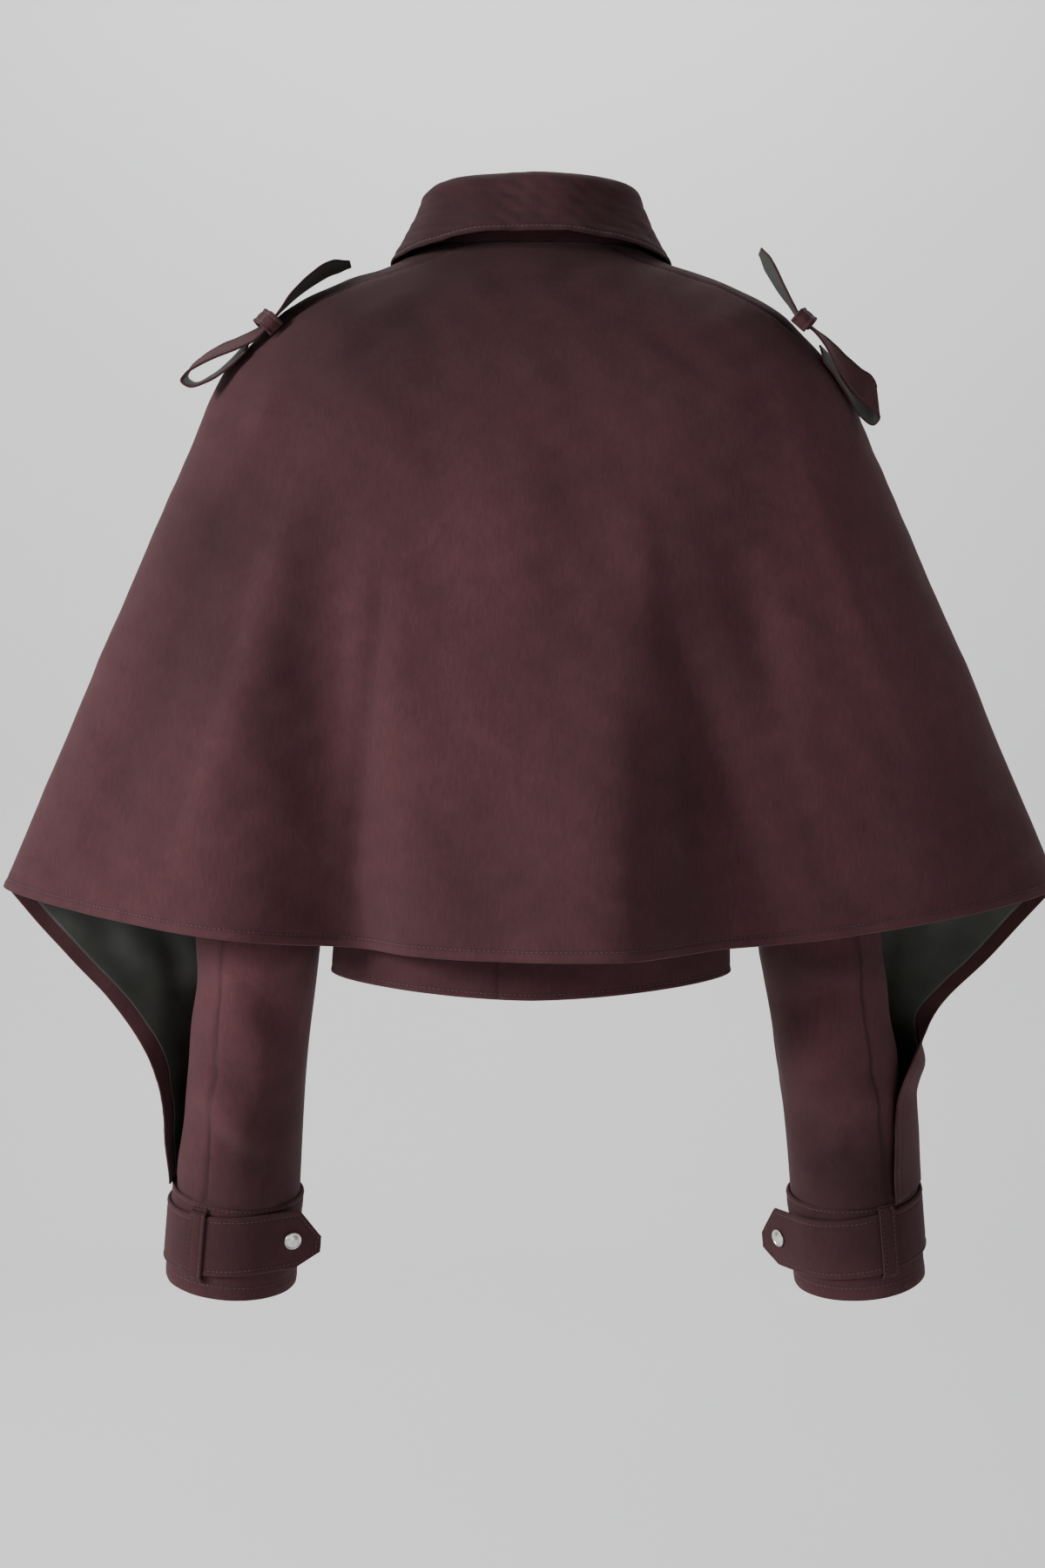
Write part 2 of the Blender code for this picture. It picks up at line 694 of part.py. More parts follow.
def carrier_grid(side):
    """A narrow upright loop over the strap, its ends turned in to the cuff."""
    middle = CARRIER_TURN[side]
    half = math.degrees(0.5 * CARRIER_WIDTH / STRAP_RADIUS)
    over = STRAP_RADIUS + DOUBLE_CLOTH + 0.0005
    near = CUFF_RADIUS + DOUBLE_CLOTH + 0.0004
    high = strap_middle(side, STRAP_RADIUS * math.cos(math.radians(middle))) - 0.5 * STRAP_WIDTH
    low = high + STRAP_WIDTH
    section = [
        (near, high - 0.0055),
        (near, high - 0.0028),
        (over, high - 0.0022),
        (over, low + 0.0022),
        (near, low + 0.0028),
        (near, low + 0.0055),
    ]
    rows = []
    for radius, drop in section:
        turns = np.linspace(middle - half, middle + half, 4)
        rows.append([cuff_point(side, degrees, radius, drop) for degrees in turns])
    return np.array(rows)


# ---------------------------------------------------------------- epaulettes


def epaulette_lines(table, count):
    """Points along the strip's middle with the roll there, evenly spaced."""
    rows = np.array(table, float)
    shares = np.linspace(0.0, 1.0, 200)
    points = np.array([path(rows[:, :2], s) for s in shares])
    keys = lengths(np.array(rows[:, :2]))
    rolls = np.array([along(np.column_stack([keys, rows[:, 2]]), s * keys[-1])[0] for s in shares])
    full = np.column_stack([points, rolls])
    run = lengths(points)
    wanted = np.linspace(0.0, run[-1], count)
    return np.column_stack([np.interp(wanted, run, full[:, k]) for k in range(3)])


def epaulette_grid(side, count):
    line = epaulette_lines(EPAULETTE_LEFT if side > 0 else EPAULETTE_RIGHT, count)
    travelled = lengths(line[:, :2])
    rows = []
    for part in (-1.0, -0.5, 0.0, 0.5, 1.0):
        row = []
        for (x, z, roll), way in zip(line, travelled):
            narrow = 0.5 * EPAULETTE_WIDTH * (0.45 + 0.55 * ease(way / 0.012))
            turn = math.radians(roll)
            y = EPAULETTE_Y + part * narrow * math.cos(turn)
            row.append((x, y, z + part * narrow * math.sin(turn)))
        rows.append(row)
    return np.array(rows)


def keeper_grid(side):
    """An arch over the strip, sewn to the shoulder in front of it and behind it."""
    line = epaulette_lines(EPAULETTE_LEFT if side > 0 else EPAULETTE_RIGHT, 120)
    at = int(np.argmin(np.abs(line[:, 0] - KEEPER_X[side])))
    run = line[at + 2, :2] - line[at - 2, :2]
    run /= np.linalg.norm(run)
    up = np.array([-run[1], run[0]])
    up *= math.copysign(1.0, up[1])
    roll = math.radians(line[at, 2])
    half = 0.5 * EPAULETTE_WIDTH + 0.0022
    profile = [
        (-half, -0.0030),
        (-half, -0.0016),
        (-half, 0.0026),
        (-half + 0.0020, 0.0048),
        (0.0, 0.0054),
        (half - 0.0020, 0.0048),
        (half, 0.0026),
        (half, -0.0016),
        (half, -0.0030),
    ]
    rows = []
    for along_strip in (-0.5, 0.0, 0.5):
        base = line[at, :2] + run * along_strip * KEEPER_LENGTH
        row = []
        for aside, height in profile:
            high = height * math.cos(roll) + aside * math.sin(roll)
            y = EPAULETTE_Y + aside * math.cos(roll) - height * math.sin(roll)
            row.append((base[0] + up[0] * high, y, base[1] + up[1] * high))
        rows.append(row)
    return np.array(rows)


# ---------------------------------------------------------------- snaps


def snap(name, side, finish):
    """A domed press stud cap with a rolled rim, turned about its own axis."""
    middle, face, away, down = snap_place(side)
    section = [(1.0, 0.0), (1.0, 0.0010), (0.90, 0.0016), (0.78, 0.0013), (0.45, 0.0021)]
    segments = 16
    points, faces = [], []
    for share, height in section:
        for k in range(segments):
            turn = 2 * math.pi * k / segments
            radial = away * math.cos(turn) + down * math.sin(turn)
            points.append(middle + radial * share * SNAP_RADIUS + face * height)
    for ring in range(len(section) - 1):
        for k in range(segments):
            n = (k + 1) % segments
            faces.append((ring * segments + k, ring * segments + n, (ring + 1) * segments + n, (ring + 1) * segments + k))
    points.append(middle + face * 0.0024)
    top = (len(section) - 1) * segments
    for k in range(segments):
        faces.append((top + k, top + (k + 1) % segments, len(points) - 1))
    faces.append(tuple(range(segments))[::-1])
    mesh = bpy.data.meshes.new(name)
    mesh.from_pydata([tuple((p * (side, 1, 1)).tolist()) for p in points], [], faces)
    if (np.linalg.det(np.array([away, down, face])) < 0) != (side < 0):
        mesh.flip_normals()
    mesh.update()
    mesh.shade_smooth()
    mesh.materials.append(finish)
    made = bpy.data.objects.new(name, mesh)
    bpy.context.collection.objects.link(made)
    return made


# ---------------------------------------------------------------- the jacket


# Row heights down a sleeve: over the shoulder, along the arm to the wing tip, and down to the cuff
SLEEVE_HEIGHTS = [
    *np.linspace(-0.050, UNDERARM_Z, 6),
    *np.linspace(UNDERARM_Z, TIP_Z, 5)[1:],
    *np.linspace(TIP_Z, CUFF_SEAM_Z, 8)[1:],
]


def build_side(side, suede, under, metal):
    wing = mirrored(wing_grid(side, SLEEVE_HEIGHTS), side)
    wall(side_name("wing_front", side), wing, CLOTH, suede)
    sleeve = mirrored(under_grid(side, SLEEVE_HEIGHTS[1:], 12), side)
    wall(side_name("sleeve_under", side), sleeve, CLOTH, suede)
    lining = mirrored(lining_grid(side, SLEEVE_HEIGHTS[4:-1]), side)
    wall(side_name("lining_wing", side), lining, LINING_CLOTH, under, outward=-1.0)
    front = mirrored(body_front_grid(side, np.linspace(0.0, 1.0, 15), 11), side)
    wall(side_name("body_front", side), front, CLOTH, suede)
    wall(side_name("cuff", side), mirrored(cuff_grid(side, 26), side), DOUBLE_CLOTH, suede, closed=True)
    wall(side_name("cuff_strap", side), mirrored(strap_grid(side), side), DOUBLE_CLOTH, suede)
    wall(side_name("cuff_loop", side), mirrored(carrier_grid(side), side), CLOTH, suede)
    snap(side_name("cuff_snap", side), side, metal)
    wall(side_name("epaulette", side), mirrored(epaulette_grid(side, 26), side), CLOTH, suede, outward=0.0)
    wall(side_name("epaulette_loop", side), mirrored(keeper_grid(side), side), CLOTH, suede)


def build_jacket():
    suede = material("suede", (0.060, 0.022, 0.027), 0.85)
    under = material("lining", (0.018, 0.020, 0.017), 0.60)
    metal = material("snap_metal", (0.60, 0.58, 0.56), 0.28, 1.0)
    wall("cape_back", cape_grid(17, 47), CLOTH, suede)
    wall("body_back", body_back_grid(np.linspace(0.0, 1.0, 12), 17), CLOTH, suede)
    wall("hem_band", hem_band_grid(45), CLOTH, suede)
    wall("collar_stand", stand_grid(31), CLOTH, suede)
    wall("collar_fall", fall_grid(31, 6), CLOTH, suede)
    for side in (1, -1):
        build_side(side, suede, under, metal)


for old in list(bpy.data.objects):
    bpy.data.objects.remove(old, do_unlink=True)
build_jacket()
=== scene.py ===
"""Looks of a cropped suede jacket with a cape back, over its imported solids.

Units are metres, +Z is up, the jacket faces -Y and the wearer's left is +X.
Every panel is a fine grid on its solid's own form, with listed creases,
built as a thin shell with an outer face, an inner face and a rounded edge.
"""

import math

import bpy
import numpy as np
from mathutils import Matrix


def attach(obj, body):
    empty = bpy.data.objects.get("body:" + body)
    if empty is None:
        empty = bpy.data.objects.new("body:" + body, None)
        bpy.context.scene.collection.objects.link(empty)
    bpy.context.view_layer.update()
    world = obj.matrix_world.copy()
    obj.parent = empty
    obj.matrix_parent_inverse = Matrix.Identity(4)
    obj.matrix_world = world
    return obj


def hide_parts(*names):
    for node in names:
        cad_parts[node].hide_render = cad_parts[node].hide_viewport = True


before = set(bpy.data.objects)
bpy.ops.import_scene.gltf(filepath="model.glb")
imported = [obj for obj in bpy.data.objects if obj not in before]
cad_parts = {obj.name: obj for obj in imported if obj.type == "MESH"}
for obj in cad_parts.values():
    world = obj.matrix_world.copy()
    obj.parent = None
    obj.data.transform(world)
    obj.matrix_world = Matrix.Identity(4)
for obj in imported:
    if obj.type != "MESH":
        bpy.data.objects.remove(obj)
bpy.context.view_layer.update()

# ---------------------------------------------------------------- driving dimensions
# Where a value differs by side, 1 is the wearer's left and -1 the right.
CLOTH = 0.0016
DOUBLE_CLOTH = 0.0022
LINING_CLOTH = 0.0010
FACING = 0.013            # suede turned in along the wing's edge
HEM_STITCH = 0.0068       # topstitching to the edge, on hems
CUFF_STITCH = 0.0095      # on the cuff's lower edge
EDGE_STITCH = 0.0036      # on straps, the collar and the band
LOOP_STITCH = 0.0022      # on the cuff straps' loops and the band's top
KEEPER_STITCH = 0.0024    # on the shoulder straps' loops
CUFF_TOP_STITCHES = (0.0028, 0.0120)
HEM_PUFF = 0.00035
STITCH_DEPTH = 0.00055
STITCH_GROOVE = 0.0011
STITCH_PITCH = 0.0034
STITCH_SHARE = 0.78       # how much of the pitch the thread fills
THREAD_THICK = 0.00030
THREAD_LIFT = 0.15        # in threads
RIM_SHARE = 0.35          # how far a cut edge bulges, in cloth thicknesses

TIP_Z = -0.467
HEM_Z = -0.509
UNDERARM_Z = -0.215
ARMHOLE_TOP_Z = -0.046
SLEEVE_TOP_Z = -0.0375    # the cloth goes on above its solid, up to the shoulder
UNDER_TOP_Z = -0.064      # top of the under sleeves
CUFF_SEAM_Z = -0.697
CUFF_HEIGHT = 0.072
CUFF_RADIUS = 0.0478
CUFF_TILT = math.radians(9.0)
CUFF_LEAN = 0.10
TILT_START_Z = -0.58
WING_LEAVES = 288.0       # degrees round the arm where the wing leaves its front
UNDER_LEAVES = 22.0       # and where the under sleeve leaves its back
RIGHT_CREASES_OUT = 0.012
CURL_START_Z = -0.555     # below this the right wing's edge curls in behind the arm
CURL_CLEAR = 0.0060       # from the arm to the right wing's curled edge
STRAP_WIDTH = 0.045
STRAP_DROP = 0.0075
LAYER_GAP = 0.0005        # between the cuff, its strap and the strap's loop
SET_GAP = 0.0004          # under what is set onto a layer
STRAP_RADIUS = CUFF_RADIUS + DOUBLE_CLOTH + LAYER_GAP
STRAP_START = -128.0      # degrees round the cuff
STRAP_TAB = 0.050
SNAP_ALONG = 0.027
STRAP_RISE = {1: 0.0045, -1: -0.0045}       # how much lower the strap sits outside than inside
TAB_POINT = 0.019         # length of the tab's tapered end
LEAVE = {1: 116.0, -1: 150.0}               # degrees round the cuff where the tab leaves it
CARRIER_TURN = {1: 64.0, -1: 70.0}          # and where the strap's loop is
SNAP_RADIUS = 0.0068
CARRIER_WIDTH = 0.012
EPAULETTE_WIDTH = 0.031
EPAULETTE_Y = 0.045
EPAULETTE_TAPER = 0.012   # length of the strip's narrowed tip
KEEPER_LENGTH = 0.012
KEEPER_SPARE = 0.0022     # the loop's room beside the strip
FRONT_OVERLAP = 0.018
STAND_LEAN = 0.0040
SIDE_LEAN = 0.0065
FALL_ROLL = 0.0075        # beyond this the collar's fall flares at the sides
FALL_FLARE = 0.47
BAND_HEIGHT = 0.0445
BAND_FLARE = np.array([1.012, 1.012, 1.0])
BACK_BELOW = 0.0065       # how much lower the inner back's top edge lies than the cape's
SHOULDER_END = 0.22       # where a body panel's shoulder seam ends, as a share of the way down
ARMHOLE_END = 0.5
BODY_SQUARENESS = 2.2
LAP_LIFT = 0.0028
SHOULDER_SHARE = 0.172    # the overarm seam's share that is the shoulder seam
SLEEVE_CLEAR = 0.0002
LINING_CLEAR = 0.0003
STAND_CLEAR = 0.0006      # of the collar stand above the neck seam
SHOULDER_SEAM_IN = 0.0505                   # the seam line on the cape's shoulder, from its edge
BAND_JOINT_X = 0.0247                       # where the band is joined at the back
TWILL_ANGLE = math.radians(38.0)
LINING_PAINTED_LIGHT = {1: 0.27, -1: 0.92}           # painted shade in the left wing's lining, painted light in the right one's; the key light falls into the left wing alone
LINING_ROW = 26                             # row of the wing at which its lining starts
ARM_COLUMNS = 62                            # grid columns of the wing up to its inner seam
SNAP_SIDES = 56
BEAD_SIDES = 5
MIRROR = np.array([-1.0, 1.0, 1.0])

# ---------------------------------------------------------------- tables of the cut
# Overarm seam, neck to wing tip: x, y, z
OVERARM = [
    (0.0805, 0.003, 0.0045),
    (0.1040, 0.003, -0.0080),
    (0.1380, 0.002, -0.0195),
    (0.1820, 0.001, -0.0420),
    (0.2060, 0.001, -0.0660),
    (0.2280, 0.000, -0.0900),
    (0.2375, 0.000, -0.1080),
    (0.2440, -0.001, -0.1250),
    (0.2830, -0.005, -0.2100),
    (0.3410, -0.011, -0.3420),
    (0.3960, -0.018, -0.4670),
]
# Cape at the centre back, neck seam to hem: y, z
CAPE_CENTRE = [
    (0.0570, -0.001),
    (0.0780, -0.030),
    (0.0970, -0.070),
    (0.1130, -0.120),
    (0.1270, -0.190),
    (0.1360, -0.270),
    (0.1450, -0.360),
    (0.1530, -0.450),
    (0.1570, -0.509),
]
# How square each cape row is in plan: share of the way down, exponent
CAPE_SQUARENESS = [
    (0.00, 2.00),
    (0.30, 2.45),
    (0.60, 2.05),
    (1.00, 1.72),
]
# Large folds of the cape: top x, top z, hem x, depth at the hem, spread +X, spread -X
CAPE_FOLDS = [
    (0.166, -0.150, 0.236, 0.014, 0.060, 0.050),
    (0.140, -0.165, 0.125, -0.050, 0.052, 0.036),
    (-0.050, -0.200, -0.060, 0.030, 0.070, 0.034),
    (-0.085, -0.215, -0.140, -0.030, 0.034, 0.050),
    (-0.190, -0.260, -0.255, -0.010, 0.050, 0.060),
]
# Where the cloth rests on the shoulder blades: x, z, height, radius
CAPE_BLADES = [
    (0.118, -0.128, 0.007, 0.045),
    (-0.118, -0.132, 0.004, 0.050),
]
# Sleeve tube: z, centre x, centre y, half width, half depth, seam angle from the front
ARM = [
    (-0.046, 0.1730, 0.001, 0.0090, 0.0100, 4.0),
    (-0.060, 0.1710, 0.001, 0.0210, 0.0300, 8.0),
    (-0.082, 0.1740, 0.001, 0.0370, 0.0510, 18.0),
    (-0.120, 0.1820, 0.001, 0.0500, 0.0660, 32.0),
    (-0.165, 0.1900, 0.002, 0.0480, 0.0660, 58.0),
    (-0.215, 0.1975, 0.003, 0.0440, 0.0620, 90.0),
    (-0.350, 0.2000, 0.002, 0.0450, 0.0580, 90.0),
    (-0.500, 0.2030, -0.001, 0.0445, 0.0540, 90.0),
    (-0.600, 0.2140, -0.018, 0.0430, 0.0520, 90.0),
    (-0.705, 0.2250, -0.044, 0.0455, 0.0490, 90.0),
]
# How much further out the right arm is held: z, extra x
RIGHT_ARM_OUT = [
    (-0.046, 0.000),
    (-0.300, 0.004),
    (-0.500, 0.012),
    (-0.705, 0.022),
    (-0.790, 0.023),
]
# Outer edge of each wing below its tip: z, left x, right x
WING_HEM = [
    (-0.467, 0.3960, 0.3960),
    (-0.490, 0.3760, 0.3740),
    (-0.521, 0.3470, 0.3443),
    (-0.550, 0.3185, 0.3130),
    (-0.580, 0.2960, 0.2890),
    (-0.616, 0.2800, 0.2720),
    (-0.665, 0.2755, 0.2690),
    (-0.705, 0.2735, 0.2720),
]
# Side seam of the body, underarm to hem band: x, y, z
SIDE_SEAM = [
    (0.1490, 0.010, -0.219),
    (0.1440, 0.012, -0.300),
    (0.1410, 0.012, -0.400),
    (0.1440, 0.012, -0.4830),
]
# Body at the centre back and at the centre front, neck seam to hem band: y, z
BODY_BACK_CENTRE = [
    (0.0530, -0.0065),
    (0.0730, -0.040),
    (0.0900, -0.085),
    (0.1010, -0.140),
    (0.1080, -0.220),
    (0.1060, -0.320),
    (0.1050, -0.420),
    (0.1110, -0.4955),
]
BODY_FRONT_CENTRE = [
    (-0.0620, -0.0660),
    (-0.0720, -0.090),
    (-0.0880, -0.130),
    (-0.1030, -0.190),
    (-0.1050, -0.260),
    (-0.1010, -0.360),
    (-0.1010, -0.430),
    (-0.1050, -0.4900),
]
# Collar around the neck: degrees from the centre back, x, y, foot z, top z
NECK = [
    (0, 0.0000, 0.0550, 0.0000, 0.0455),
    (30, 0.0400, 0.0480, 0.0010, 0.0455),
    (60, 0.0680, 0.0270, 0.0040, 0.0460),
    (90, 0.0775, -0.0040, 0.0030, 0.0450),
    (120, 0.0640, -0.0330, -0.0190, 0.0270),
    (150, 0.0370, -0.0530, -0.0450, 0.0000),
    (176, 0.0050, -0.0600, -0.0590, -0.0190),
]
# Collar fall, from its sewn edge over the roll to its outer edge: out, up
FALL_SECTION = [
    (0.0004, 0.0006),
    (0.0030, 0.0046),
    (0.0075, 0.0030),
    (0.0150, -0.0150),
    (0.0215, -0.0330),
    (0.0272, -0.0462),
]
# Epaulette strip from its free tip to its sewn end: x, z, roll in degrees
EPAULETTE = {
    1: [
        (0.1316, -0.0129, 4),
        (0.1448, -0.0154, 3),
        (0.1587, -0.0236, 0),
        (0.1735, -0.0365, -8),
        (0.1830, -0.0480, -18),
        (0.1905, -0.0562, -24),
        (0.1990, -0.0632, -28),
        (0.2137, -0.0704, -28),
        (0.2276, -0.0761, -27),
        (0.2390, -0.0824, -24),
        (0.2491, -0.0905, -19),
        (0.2520, -0.0960, -16),
        (0.2475, -0.0998, -15),
        (0.2340, -0.0958, -19),
        (0.2205, -0.0862, -24),
        (0.2115, -0.0775, -27),
        (0.2060, -0.0722, -28),
    ],
    -1: [
        (0.1660, -0.0034, 4),
        (0.1735, -0.0160, 3),
        (0.1818, -0.0312, -4),
        (0.1893, -0.0438, -14),
        (0.1955, -0.0535, -18),
        (0.2035, -0.0595, -20),
        (0.2114, -0.0672, -28),
        (0.2209, -0.0800, -48),
        (0.2300, -0.0915, -60),
        (0.2400, -0.1010, -64),
        (0.2480, -0.1070, -64),
        (0.2512, -0.1125, -60),
        (0.2470, -0.1185, -54),
        (0.2380, -0.1135, -50),
        (0.2270, -0.0985, -42),
        (0.2170, -0.0845, -36),
        (0.2110, -0.0775, -33),
    ],
}
KEEPER_X = {1: 0.1905, -1: 0.1965}    # where the strip passes under its loop
# Press stud cap from its rim to its middle: share of the radius, height
SNAP_SECTION = [
    (0.97, 0.0),
    (1.0, 0.0006),
    (0.96, 0.0014),
    (0.86, 0.0016),
    (0.76, 0.0010),
    (0.66, 0.0012),
    (0.40, 0.0020),
    (0.012, 0.0024),
]
# One stitch: share of the pitch along it, thickness, height
BEAD = [
    (-0.50, 0.30, -0.9),
    (-0.34, 0.95, 0.0),
    (0.0, 1.0, 0.35),
    (0.34, 0.95, 0.0),
    (0.50, 0.30, -0.9),
]
# Heights of the wing's rows, closer together below its tip
SLEEVE_ROWS = np.concatenate([np.linspace(SLEEVE_TOP_Z, TIP_Z, 86), np.linspace(TIP_Z, CUFF_SEAM_Z, 66)[1:]])
# Patches of painted light and painted shade on the outer faces, where light falls more or less: x, z, spread
# x, spread z, amount
PAINTED_LIGHT_PATCHES = [
    (0.000, 0.000, 0.300, 0.085, -0.22),
    (0.110, -0.055, 0.060, 0.070, -0.26),
    (0.070, 0.025, 0.030, 0.030, -0.40),
    (0.225, -0.270, 0.060, 0.120, -0.22),
    (0.150, -0.200, 0.045, 0.080, -0.18),
    (0.050, -0.320, 0.080, 0.100, 0.06),
    (0.060, -0.470, 0.080, 0.050, -0.16),
    (-0.105, -0.400, 0.032, 0.150, -0.18),
    (-0.210, -0.360, 0.060, 0.150, 0.40),
    (-0.165, -0.170, 0.045, 0.080, 0.30),
    (0.172, -0.420, 0.030, 0.050, 0.24),
    (0.228, -0.205, 0.035, 0.050, -0.12),
    (0.195, -0.545, 0.050, 0.040, 0.50),
    (0.160, -0.540, 0.016, 0.020, -0.40),
    (-0.200, -0.520, 0.050, 0.014, -0.50),
    (0.190, -0.650, 0.040, 0.050, -0.22),
    (0.235, -0.630, 0.014, 0.030, 0.22),
    (-0.215, -0.570, 0.030, 0.030, 0.14),
    (-0.190, -0.560, 0.012, 0.040, -0.20),
    (-0.230, -0.670, 0.050, 0.035, -0.42),
    (0.225, -0.730, 0.080, 0.045, -0.32),
    (-0.245, -0.730, 0.080, 0.045, -0.44),
]
# Each row: start x, start z, end x, end z, width, width on its other side, height, bow
CAPE_CREASES = [
    (0.150, -0.140, 0.262, -0.500, 0.020, 0.012, 0.0050, 0.006),
    (0.098, -0.215, 0.128, -0.505, 0.012, 0.006, -0.0045, -0.004),
    (0.205, -0.150, 0.330, -0.470, 0.022, 0.016, -0.0030, 0.010),
    (0.168, -0.090, 0.232, -0.200, 0.010, 0.014, 0.0028, 0.004),
    (0.020, -0.120, 0.040, -0.420, 0.030, 0.040, 0.0030, 0.010),
    (-0.070, -0.150, -0.100, -0.500, 0.012, 0.020, 0.0040, -0.004),
    (-0.130, -0.170, -0.215, -0.500, 0.016, 0.022, -0.0035, -0.006),
    (-0.175, -0.110, -0.300, -0.420, 0.020, 0.014, 0.0034, -0.008),
    (-0.060, -0.060, -0.140, -0.120, 0.012, 0.010, -0.0016, 0.004),
    (0.060, -0.055, 0.140, -0.100, 0.012, 0.010, -0.0018, -0.004),
    (-0.046, -0.026, 0.052, -0.029, 0.0045, 0.0030, -0.0022, 0.002),
    (-0.034, -0.037, 0.040, -0.040, 0.0040, 0.0035, -0.0016, 0.001),
    (-0.060, -0.016, -0.010, -0.018, 0.0035, 0.0030, -0.0014, 0.001),
]
ARM_CREASES = [
    (0.165, -0.240, 0.240, -0.268, 0.008, 0.013, 0.0034, 0.004),
    (0.170, -0.330, 0.236, -0.300, 0.012, 0.008, -0.0030, -0.004),
    (0.160, -0.400, 0.240, -0.430, 0.010, 0.016, 0.0036, 0.005),
    (0.166, -0.505, 0.236, -0.530, 0.010, 0.016, 0.0040, 0.008),
    (0.172, -0.560, 0.216, -0.520, 0.014, 0.010, -0.0034, 0.006),
    (0.196, -0.560, 0.204, -0.640, 0.016, 0.012, 0.0038, 0.004),
    (0.184, -0.610, 0.250, -0.596, 0.012, 0.008, -0.0030, 0.004),
    (0.205, -0.662, 0.252, -0.612, 0.010, 0.018, 0.0038, -0.006),
    (0.190, -0.676, 0.236, -0.650, 0.016, 0.010, -0.0034, 0.003),
]
WING_CREASES = [
    (0.235, -0.190, 0.300, -0.430, 0.012, 0.018, -0.0030, 0.008),
    (0.262, -0.230, 0.352, -0.440, 0.016, 0.010, 0.0028, -0.006),
    (0.285, -0.470, 0.262, -0.640, 0.012, 0.010, 0.0024, 0.006),
    (0.320, -0.440, 0.300, -0.540, 0.010, 0.014, -0.0022, 0.004),
]
BODY_CREASES = [
    (0.100, -0.240, 0.060, -0.480, 0.014, 0.020, 0.0026, 0.006),
    (0.040, -0.160, 0.090, -0.300, 0.012, 0.016, -0.0022, -0.005),
    (-0.020, -0.220, -0.060, -0.480, 0.016, 0.012, -0.0026, 0.006),
    (-0.110, -0.260, -0.080, -0.480, 0.012, 0.016, 0.0026, -0.006),
    (0.125, -0.300, 0.112, -0.420, 0.010, 0.012, -0.0020, 0.003),
]

# ---------------------------------------------------------------- curve tools


def curve(rows, at):
    """The other columns of the rows at these values of the first one, on a smooth curve."""
    table = np.array(rows, float)
    keys, values = table[:, 0], table[:, 1:]
    if keys[0] > keys[-1]:
        keys, values = keys[::-1], values[::-1]
    slopes = np.gradient(values, keys, axis=0)
    at = np.clip(np.atleast_1d(np.asarray(at, float)), keys[0], keys[-1])
    i = np.clip(np.searchsorted(keys, at) - 1, 0, len(keys) - 2)
    gap = (keys[i + 1] - keys[i])[:, None]
    t = (at[:, None] - keys[i][:, None]) / gap
    start = values[i] * (2 * t**3 - 3 * t**2 + 1) + slopes[i] * gap * (t**3 - 2 * t**2 + t)
    return start + values[i + 1] * (3 * t**2 - 2 * t**3) + slopes[i + 1] * gap * (t**3 - t**2)


def lengths(points):
    steps = np.linalg.norm(np.diff(points, axis=0), axis=1)
    return np.concatenate([[0.0], np.cumsum(steps)])


def path(points, shares):
    """The points these shares of the way along a smooth curve through the points."""
    points = np.array(points, float)
    keys = lengths(points)
    return curve(np.column_stack([keys, points]), np.asarray(shares) * keys[-1])


def sample(points, shares):
    """The points at these shares of a polyline's length."""
    keys = lengths(points)
    wanted = np.asarray(shares) * keys[-1]
    return np.column_stack([np.interp(wanted, keys, points[:, k]) for k in range(points.shape[1])])


def ease(t):
    t = np.clip(t, 0.0, 1.0)
    return t * t * (3 - 2 * t)


def bezier(p0, p1, p2, p3, count):
    t = np.linspace(0.0, 1.0, count)[:, None]
    return (1 - t) ** 3 * p0 + 3 * (1 - t) ** 2 * t * p1 + 3 * (1 - t) * t**2 * p2 + t**3 * p3


def both_ends(count, fine=0.75):
    """Shares from 0 to 1, closer together at both ends."""
    t = np.linspace(0.0, 1.0, count)
    return t - fine * np.sin(2 * math.pi * t) / (2 * math.pi)


def far_end(count, fine=0.78):
    """Shares from 0 to 1, closer together towards 1."""
    t = np.linspace(0.0, 1.0, count)
    return (1 - fine) * t + fine * (1 - (1 - t) ** 2)


def unit(v):
    return v / np.linalg.norm(v, axis=-1, keepdims=True)


# ---------------------------------------------------------------- relief


def creases(u, v, table):
    """Height of listed creases. Each runs from one place to another, bowed sideways.

    A row holds: start u, start v, end u, end v, width, width on its other side, height, bow.
    """
    total = np.zeros_like(u)
    for u0, v0, u1, v1, width, other, height, bow in table:
        long = math.hypot(u1 - u0, v1 - v0)
        run_u, run_v = (u1 - u0) / long, (v1 - v0) / long
        share = ((u - u0) * run_u + (v - v0) * run_v) / long
        side = (u - u0) * run_v - (v - v0) * run_u - bow * 4 * share * (1 - share)
        taper = ease(share / 0.30) * ease((1 - share) / 0.34)
        total += height * taper * bell(side, np.where(side > 0, width, other))
    return total


def ripple(u, v, scale, seed):
    """Smooth uneven waves between about -1 and 1, from a few crossed sines."""
    draw = np.random.default_rng(seed)
    total = np.zeros_like(u)
    for _wave in range(7):
        angle, size, phase = draw.uniform(0, math.pi), draw.uniform(0.7, 1.7), draw.uniform(0, 6.28)
        total += np.sin((u * math.cos(angle) + v * math.sin(angle)) * 6.28 / (scale * size) + phase)
    return total / 3.2


def bell(distance, width):
    return np.exp(-((distance / width) ** 2))


def normals_of(grid, closed=False):
    down = np.gradient(grid, axis=0)
    if closed:
        aside = np.roll(grid, -1, axis=1) - np.roll(grid, 1, axis=1)
    else:
        aside = np.gradient(grid, axis=1)
    return unit(np.cross(down, aside))


def facing(grid, edge):
    """The grid turned so that its first row is this edge: top, bottom, first or last column."""
    turned = grid.swapaxes(0, 1) if edge in ("first", "last") else grid
    return turned[::-1] if edge in ("bottom", "last") else turned


def run_of(lines):
    """Length along the grid's lines from its first row."""
    steps = np.linalg.norm(np.diff(lines, axis=0), axis=2)
    return np.vstack([np.zeros(lines.shape[1]), np.cumsum(steps, axis=0)])


